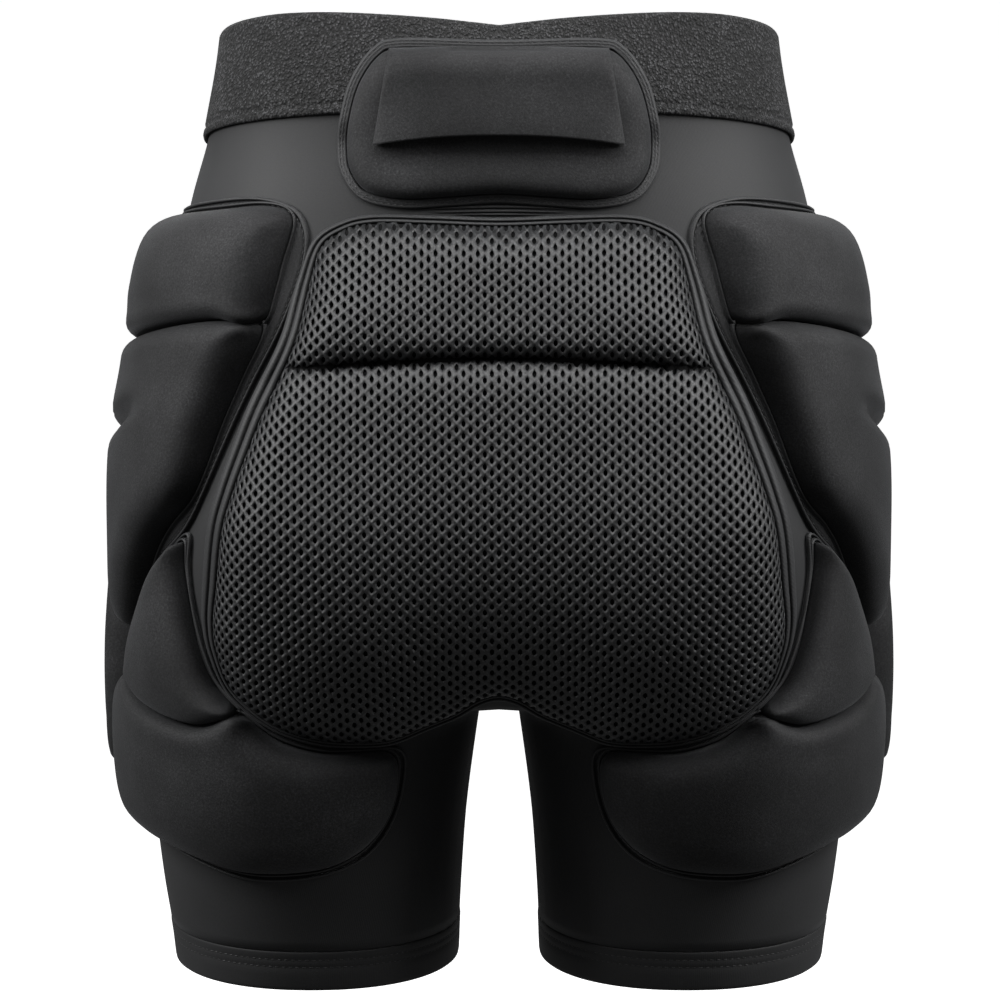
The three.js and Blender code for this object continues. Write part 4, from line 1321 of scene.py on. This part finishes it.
class HIPPAD_OT_thigh_pads(bpy.types.Operator):
    """Make the two rear thigh pads"""

    bl_idname = "hippad.thigh_pads"
    bl_label = "Rear thigh pads"

    def execute(self, context):
        chart = Turned(THIGH_MIDDLE)
        pad = Pieces()
        thick = context.scene.hip_pad_sizes.thigh_thick / MM
        seam = through(chart.flat(THIGH_SEAM), 80, closed=False)
        upper, lower = (pad_outline(chart, lobe, LOBE_PASSES) for lobe in (THIGH_UPPER, THIGH_LOWER))
        add_flange(pad, context, chart, pad_outline(chart, THIGH_FLANGE), [upper, lower])
        add_lobe(pad, chart, upper, thick - 1, seam=seam, shoulder=13)
        add_lobe(pad, chart, lower, thick, seam=seam, shoulder=16)
        make_pair(context, "thigh_pad", pad)
        return {"FINISHED"}


class HIPPAD_OT_front_pads(bpy.types.Operator):
    """Make the two front thigh pads"""

    bl_idname = "hippad.front_pads"
    bl_label = "Front thigh pads"

    def execute(self, context):
        chart = Turned(FRONT_MIDDLE)
        pad = Pieces()
        thick = context.scene.hip_pad_sizes.front_thick / MM
        seam = through(chart.flat(FRONT_SEAM), 60, closed=False)
        lobe = pad_outline(chart, FRONT_PAD)
        add_flange(pad, context, chart, pad_outline(chart, FRONT_FLANGE), [lobe])
        add_lobe(pad, chart, lobe, thick, seam=seam, shoulder=14, seam_start=5.0, seam_shoulder=6.0)
        make_pair(context, "front_pad", pad)
        return {"FINISHED"}


# --- The lumbar pad ---------------------------------------------------------------------------

LUMBAR_FLANGE = 4.2
LUMBAR_SHOULDER = 11.0
LUMBAR_START = 2.2
# Section of the lumbar border, as insets and heights, and its two rows of stitches
LUMBAR_BORDER = [
    (0, 0.9), (0.2, 1.6), (0.7, 2.1), (1.1, 2.2), (1.45, 1.9), (1.8, 2.2), (2.4, 2.3), (2.8, 2.0),
    (3.2, 2.3), (4.0, 2.2), (4.3, GAP), (0, GAP),
]
LUMBAR_STITCHES = (1.45, 2.8)
LUMBAR_STITCH_HEIGHT = 2.15
# Flap: its wall, how far it lies over the pad, how far its free edge stands out, and its points
FLAP_WALL = 1.5
FLAP_LAID = 0.6
FLAP_OUT = 3.2
FLAP_ACROSS = 81
FLAP_DOWN = 41


def lumbar_height(u, z, thick):
    """Height of the lumbar pad's face over what it lies on."""
    outline = moved_in(closed_half(LUMBAR_HALF), LUMBAR_FLANGE)
    d = inside_by(np.stack([u, z], -1), outline)
    return LUMBAR_START + (thick - LUMBAR_START) * rise(d / LUMBAR_SHOULDER)


class HIPPAD_OT_lumbar(bpy.types.Operator):
    """Make the lumbar pad, its stitched border and its flap"""

    bl_idname = "hippad.lumbar"
    bl_label = "Lumbar pad"

    def execute(self, context):
        sizes = context.scene.hip_pad_sizes
        pitch = sizes.stitch_pitch / MM
        thick = sizes.lumbar_thick / MM
        chart = Behind(stepped=True)
        outline = closed_half(LUMBAR_HALF)
        border = Pieces()
        add_band(border, chart, outline, LUMBAR_BORDER)
        for inset in LUMBAR_STITCHES:
            stitched_outline(border, chart, outline, inset, LUMBAR_STITCH_HEIGHT, pitch)
        finishes = [finish_of(context, "binding"), finish_of(context, "thread")]
        edge = border.object("lumbar_border_binding", finishes)
        dress(edge, "lumbar_border")

        foam = Pieces()
        inner = moved_in(outline, LUMBAR_FLANGE)
        add_lobe(
            foam, chart, inner, thick, shoulder=LUMBAR_SHOULDER, crown=0.6, start=LUMBAR_START,
            extra=eased_step)
        pad = foam.object("lumbar_pad_foam", [finish_of(context, "pad")])
        dress(pad, "lumbar_pad")

        flap = self.flap(context, chart, thick)
        dress(flap, "lumbar_flap")
        return {"FINISHED"}

    def flap(self, context, chart, thick):
        """A thin trapezoid sewn down its sides, with its free lower edge bowed out."""
        s = np.linspace(-1, 1, FLAP_ACROSS)[None, :]
        t = np.linspace(0, 1, FLAP_DOWN)[:, None]
        u = s * (FLAP_TOP[0] + (FLAP_LOW[0] - FLAP_TOP[0]) * t)
        low = FLAP_MIDDLE_LOW + (FLAP_LOW[1] - FLAP_MIDDLE_LOW) * np.abs(s) ** 2.2
        z = FLAP_TOP[1] + (low - FLAP_TOP[1]) * t
        z = z + 0.8 * (1 - s**2) * (1 - t)
        base = lumbar_height(u, z, thick) + eased_step(u, z)
        free = smoothstep(t, 0.35, 1.0) * (1 - np.abs(s) ** 14)
        base = base + FLAP_LAID + FLAP_OUT * free
        sides = 1 - smoothstep(np.abs(s) + 0 * t, 0.985, 1.0)
        top = base + FLAP_WALL * (0.8 + 0.2 * sides)
        made = Pieces()
        cloth = np.stack([u + 0 * t, z], -1)
        upper = chart.point(u + 0 * t, z, top)
        under = chart.point(u + 0 * t, z, base)
        made.grid(upper, cloth, round_columns=False)
        made.grid(under, cloth, round_columns=False, flip=True)
        edges = (
            (under[0], upper[0]), (upper[-1], under[-1]),
            (upper[:, 0], under[:, 0]), (under[:, -1], upper[:, -1]),
        )
        for strip in map(np.array, edges):
            made.grid(strip, strip[..., [0, 2]], round_columns=False)
        flap = made.object("lumbar_flap_cloth", [finish_of(context, "pad")])
        weld(flap)
        return flap


# --- The seat pad -----------------------------------------------------------------------------

# Section of the seat border: inset as a share of its width, and height
SEAT_BORDER = [
    (0, 0.9), (0.03, 1.7), (0.12, 2.4), (0.25, 2.7), (0.38, 2.4), (0.46, 1.7), (0.5, 1.3), (0.54, 1.8),
    (0.62, 2.7), (0.76, 3.1), (0.9, 2.7), (0.98, 1.9), (1.02, GAP), (0.5, GAP), (0, GAP),
]
# Width of the seat pad's shoulder, height of its edge, and what the crown adds in its middle
SEAT_SHOULDER = 17
SEAT_EDGE = 0.9
SEAT_CROWN = 1.5
# The crease: share of the height that is left in it, and how far it slopes above and below
CREASE_LEFT = 0.28
CREASE_ABOVE = 13
CREASE_BELOW = 17
# How far the foam lies under the mesh's face, and the insets of its first rings
FOAM_UNDER = 1.5
FOAM_RINGS = (0, 1, 2, 4, 6, 9, 12, 16, 20)
FOAM_MIDDLE_RINGS = 34
# Half sizes of a hole in the mesh, and how far its wall draws in and goes down
HOLE_HALF = (0.98, 1.45)
HOLE_DRAW = 0.88
HOLE_LIP = 0.3
HOLE_DEEP = 1.4
# Height at which the rows of holes start, cells each way from it, and share of the border over the mesh
LATTICE_FROM = -160
LATTICE_CELLS = 60
LATTICE_UNDER = 0.72


def seat_outline(count=SEAT_SPOKES):
    """Outer edge of the seat pad's border."""
    return closed_half(SEAT_HALF, count)


def border_widths(outline):
    """Width of the seat pad's border at each point of its outline."""
    z, width = np.array(BORDER_WIDTH).T
    return np.interp(outline[:, 1], z, width)


def seat_inner(outline):
    """Edge of the mesh inside the border."""
    return outline + inward(outline) * border_widths(outline)[:, None]


class SeatFace:
    """Heights of the seat pad, sampled once on a grid of places seen from behind."""

    step = 1.5
    widest = 141
    lowest = -286
    highest = -38
    column_at = 45

    def __init__(self, thick):
        inner = seat_inner(seat_outline())
        self.x = np.arange(0, self.widest, self.step)
        self.z = np.arange(self.lowest, self.highest, self.step)
        places = np.stack(np.meshgrid(self.x, self.z), -1)
        self.edge = inside_by(places, inner)
        self.thick = thick
        self.crease = through(SEAT_CREASE, 60, closed=False)
        held = np.clip(self.z, SIDES_FROM, SIDES_TO)
        wide = np.array([np.abs(inner[np.abs(inner[:, 1] - z) < 3, 0]).max() for z in held])
        laid = SEAT_EDGE + 0.7 * thick * rise((wide[:, None] - self.x) / SEAT_SHOULDER, 2.2)
        surface = behind(places[..., 0], places[..., 1], laid)
        run = np.hypot(np.diff(surface[..., 0], axis=1), np.diff(surface[..., 1], axis=1))
        self.arc = np.concatenate([np.zeros((len(self.z), 1)), np.cumsum(run, 1)], 1)
        column = surface[:, int(self.column_at / self.step)]
        fall = np.hypot(np.diff(column[:, 1]), np.diff(column[:, 2]))
        self.down = np.concatenate([[0], np.cumsum(fall)])

    def sample(self, table, x, z):
        """A table read at places between its grid points."""
        fx = np.clip((np.abs(x) - self.x[0]) / self.step, 0, len(self.x) - 1.001)
        fz = np.clip((z - self.z[0]) / self.step, 0, len(self.z) - 1.001)
        i, j = fx.astype(int), fz.astype(int)
        a, b = fx - i, fz - j
        upper = table[j, i] * (1 - a) + table[j, i + 1] * a
        lower = table[j + 1, i] * (1 - a) + table[j + 1, i + 1] * a
        return upper * (1 - b) + lower * b

    def crease_at(self, x):
        """Height of the crease across the pad."""
        return np.interp(np.abs(x), self.crease[:, 0], self.crease[:, 1])

    def height(self, x, z, upper=None):
        """Height of the mesh's face over the cloth; upper says which panel a place on the crease is on."""
        edge = self.sample(self.edge, x, z)
        off = z - self.crease_at(x)
        if upper is None:
            upper = off > 0
        pinch = rise(np.abs(off) / np.where(upper, CREASE_ABOVE, CREASE_BELOW), 2.4)
        pinch = CREASE_LEFT + (1 - CREASE_LEFT) * pinch
        full = rise(edge / SEAT_SHOULDER, 2.2)
        crown = SEAT_CROWN * smoothstep(edge, 8, 60)
        low = SEAT_EDGE + 1.3 * smoothstep(edge, -0.6, 0.8)
        return low + ((self.thick - 3.7) * full + crown) * pinch

    def place(self, arc, down):
        """Place seen from behind at lengths of cloth across from the middle and down."""
        z = np.interp(down, self.down, self.z)
        j = np.clip(((z - self.z[0]) / self.step).astype(int), 0, len(self.z) - 2)
        share = (z - self.z[j]) / self.step
        x = np.empty_like(arc)
        far = np.abs(arc)
        for row in np.unique(j):
            here = j == row
            first = np.interp(far[here], self.arc[row], self.x)
            second = np.interp(far[here], self.arc[row + 1], self.x)
            x[here] = first * (1 - share[here]) + second * share[here]
        return x * np.where(arc < 0, -1, 1), z


def seat_lattice(face, across, down):
    """Cells of the spacer mesh: each a hexagon of yarn round an oval hole."""
    side = (across**2 + down**2 / 4) / (2 * across)
    top = (side * across - down**2 / 4) / across
    top = max(top, 0.1)
    corners = np.array([
        (side, 0), (top, down / 2), (-top, down / 2), (-side, 0), (-top, -down / 2), (top, -down / 2)])
    middles = (corners + np.roll(corners, -1, 0)) / 2
    outer = np.stack([corners, middles], 1).reshape(-1, 2)
    turn = np.arctan2(outer[:, 1] * 0.8, outer[:, 0])
    hole = np.stack([np.cos(turn), np.sin(turn)], -1) * HOLE_HALF
    cells = np.arange(-LATTICE_CELLS, LATTICE_CELLS + 1)
    middle_down = np.interp(LATTICE_FROM, face.z, face.down)
    i, j = np.meshgrid(cells, cells)
    centre = np.stack([i * across, middle_down + j * down + (i % 2) * down / 2], -1).reshape(-1, 2)
    x, z = face.place(centre[:, 0], centre[:, 1])
    outline = seat_outline()
    limit = outline + inward(outline) * (LATTICE_UNDER * border_widths(outline))[:, None]
    in_range = (centre[:, 1] > face.down[0] + 6) & (centre[:, 1] < face.down[-1] - 6)
    centre = centre[inside_curve(np.stack([x, z], -1), limit) & in_range]
    return centre, outer, hole


class HIPPAD_OT_seat_border(bpy.types.Operator):
    """Make the double rib round the seat pad"""

    bl_idname = "hippad.seat_border"
    bl_label = "Seat border"

    def execute(self, context):
        outline = seat_outline()
        made = Pieces()
        add_band(made, Behind(), outline, SEAT_BORDER, border_widths(outline))
        border = made.object("seat_border_binding", [finish_of(context, "binding")])
        dress(border, "seat_border")
        return {"FINISHED"}


class HIPPAD_OT_seat(bpy.types.Operator):
    """Make the seat pad: its foam and the spacer mesh over it"""

    bl_idname = "hippad.seat"
    bl_label = "Seat pad"

    def execute(self, context):
        sizes = context.scene.hip_pad_sizes
        face = SeatFace(sizes.seat_thick / MM)
        self.foam(context, face)
        self.mesh(context, face, sizes.hole_across / MM, sizes.hole_down / MM)
        return {"FINISHED"}

    def foam(self, context, face):
        """Foam under the mesh, closed behind."""
        rings, _ = rings_of(seat_inner(seat_outline(SPOKES)), FOAM_RINGS, FOAM_MIDDLE_RINGS)
        heights = face.height(rings[..., 0], rings[..., 1]) - FOAM_UNDER
        made = Pieces()
        add_face(made, Behind(), rings, heights, rings[::4])
        # Its finish is the yarn's colour darkened: painted shade seen through the mesh's holes
        foam = made.object("seat_pad_foam", [finish_of(context, "foam")])
        dress(foam, "seat_pad")

    def mesh(self, context, face, across, down):
        """The open mesh, cell by cell, with shared edges between the cells."""
        centre, outer, hole = seat_lattice(face, across, down)
        made = Pieces()
        count, corners = len(centre), len(outer)
        cx, cz = face.place(centre[:, 0], centre[:, 1])
        above = cz > face.crease_at(cx)
        crest = (centre[:, None] + outer).reshape(-1, 2)
        key = np.round(np.column_stack([crest * 20, np.repeat(above * 20, corners)])).astype(np.int64)
        _, first, back = np.unique(key, axis=0, return_index=True, return_inverse=True)
        back = back.reshape(count, corners)
        shared = crest[first]
        ovals = centre[:, None] + hole
        inner = centre[:, None] + hole * HOLE_DRAW
        flat = np.vstack([shared, ovals.reshape(-1, 2), inner.reshape(-1, 2)])
        holes = corners * count
        drop = np.concatenate([np.zeros(len(shared)), np.full(holes, HOLE_LIP), np.full(holes, HOLE_DEEP)])
        upper = np.repeat(above, corners)
        upper = np.concatenate([upper[first], upper, upper])
        x, z = face.place(flat[:, 0], flat[:, 1])
        crease = face.crease_at(x)
        z = np.where(upper, np.maximum(z, crease), np.minimum(z, crease))
        points = behind(x, z, np.maximum(face.height(x, z, upper) - drop, GAP))
        k = np.arange(corners)
        after = (k + 1) % corners
        rim = len(shared) + corners * np.arange(count)[:, None] + k
        low = rim + holes
        top = np.stack([back[:, k], back[:, after], rim[:, after], rim[:, k]], -1).reshape(-1, 4)
        wall = np.stack([rim[:, k], rim[:, after], low[:, after], low[:, k]], -1).reshape(-1, 4)
        faces = np.vstack([top, wall])[:, ::-1]
        made.add(points, faces.tolist(), flat)
        mesh = made.object("seat_pad_mesh", [finish_of(context, "mesh")])
        dress(mesh, "seat_pad")


# --- The stage --------------------------------------------------------------------------------

def plain_surface(name, colour):
    """Plain matt surface of the studio with a very faint tone in it."""
    material, tree, shader = new_finish(name, colour, roughness=0.9, sheen=0.0, specular=0.1)
    shader.inputs["Emission Color"].default_value = (1, 1, 1, 1)
    shader.inputs["Emission Strength"].default_value = 0.85
    toned(tree, shader, noise(tree, solid_place(tree, 3)), colour, [(0.3, 0.99), (0.7, 1)])
    return material


def softbox(name, place, target, size, power):
    """A large soft area light turned towards a target."""
    light = bpy.data.lights.new(name, "AREA")
    light.shape = "RECTANGLE"
    light.size, light.size_y = size
    light.energy = power
    lamp = bpy.data.objects.new(name, light)
    lamp.visible_camera = False
    bpy.context.scene.collection.objects.link(lamp)
    aim(lamp, place, target)


def aim(thing, place, target):
    """Puts a camera or a light at a place, looking at a target."""
    thing.location = place
    thing.rotation_euler = (Vector(target) - Vector(place)).to_track_quat("-Z", "Y").to_euler()


# In metres: the floor, how far the camera sees, and its shift as a share of the frame
FLOOR_SIDE = 60.0
FLOOR_LEVEL = -0.8
FLOOR_COLOUR = (0.93, 0.93, 0.93)
VIEW_REACH = 200
CAMERA_SHIFT = 0.001
# Softboxes: name, place, size and the power's name on the panel
SOFTBOXES = (
    ("softbox_top", (0, -0.34, 0.60), (0.9, 0.3), "top_light"),
    ("softbox_left", (-1.05, -0.30, 0.45), (0.5, 0.6), "side_light"),
    ("softbox_right", (1.05, -0.30, 0.45), (0.5, 0.6), "side_light"),
    ("softbox_back", (0, 0.85, 0.80), (0.9, 0.5), "back_light"),
)


class HIPPAD_OT_stage(bpy.types.Operator):
    """Make the pale floor, the soft light and the camera"""

    bl_idname = "hippad.stage"
    bl_label = "Studio"

    def execute(self, context):
        scene = context.scene
        stage = scene.hip_pad_stage
        middle = (0, 0, stage.middle)
        camera = bpy.data.objects.new("camera", bpy.data.cameras.new("camera"))
        scene.collection.objects.link(camera)
        camera.data.lens = stage.lens
        camera.data.sensor_width = 36
        camera.data.shift_x = CAMERA_SHIFT
        camera.data.clip_end = VIEW_REACH
        away = stage.distance
        place = (0, -away * np.cos(stage.elevation), stage.middle + away * np.sin(stage.elevation))
        aim(camera, place, middle)
        scene.camera = camera

        square = ((-1, -1), (1, -1), (1, 1), (-1, 1))
        corners = [(x * FLOOR_SIDE, y * FLOOR_SIDE, FLOOR_LEVEL) for x, y in square]
        mesh = bpy.data.meshes.new("floor")
        mesh.from_pydata(corners, [], [(0, 1, 2, 3)])
        mesh.materials.append(plain_surface("pale_floor", FLOOR_COLOUR))
        floor = bpy.data.objects.new("floor", mesh)
        floor.visible_diffuse = False
        floor.visible_glossy = False
        scene.collection.objects.link(floor)

        world = bpy.data.worlds.new("studio")
        world.use_nodes = True
        world.node_tree.nodes["Background"].inputs["Color"].default_value = (1, 1, 1, 1)
        world.node_tree.nodes["Background"].inputs["Strength"].default_value = stage.surround
        scene.world = world
        for name, place, size, power in SOFTBOXES:
            softbox(name, place, (0, 0, 0), size, getattr(stage, power))
        scene.view_settings.view_transform = "Standard"
        scene.view_settings.look = "None"
        return {"FINISHED"}


OPERATORS = (
    HIPPAD_OT_shell,
    HIPPAD_OT_hems,
    HIPPAD_OT_waistband,
    HIPPAD_OT_side_pads,
    HIPPAD_OT_thigh_pads,
    HIPPAD_OT_front_pads,
    HIPPAD_OT_lumbar,
    HIPPAD_OT_seat_border,
    HIPPAD_OT_seat,
    HIPPAD_OT_stage,
)


class HIPPAD_PT_making(bpy.types.Panel):
    """Sizes, colours and making of the hip shorts"""

    bl_idname = "HIPPAD_PT_making"
    bl_label = "Hip pad"
    bl_space_type = "VIEW_3D"
    bl_region_type = "UI"
    bl_category = "Hip pad"

    def draw(self, context):
        layout = self.layout
        for group in (getattr(context.scene, name) for name in GROUPS):
            box = layout.box()
            for name in group.__annotations__:
                box.prop(group, name)
        for operator in OPERATORS:
            layout.operator(operator.bl_idname)


GROUPS = {"hip_pad_sizes": HipPadSizes, "hip_pad_colours": HipPadColours, "hip_pad_stage": HipPadStage}


def register():
    for made in (*GROUPS.values(), *OPERATORS, HIPPAD_PT_making):
        bpy.utils.register_class(made)
    for name, group in GROUPS.items():
        setattr(bpy.types.Scene, name, bpy.props.PointerProperty(type=group))


def unregister():
    for name in GROUPS:
        delattr(bpy.types.Scene, name)
    for made in (HIPPAD_PT_making, *reversed(OPERATORS), *reversed(GROUPS.values())):
        bpy.utils.unregister_class(made)


def main():
    register()
    for operator in OPERATORS:
        group, name = operator.bl_idname.split(".")
        getattr(getattr(bpy.ops, group), name)()


if __name__ == "__main__":
    main()
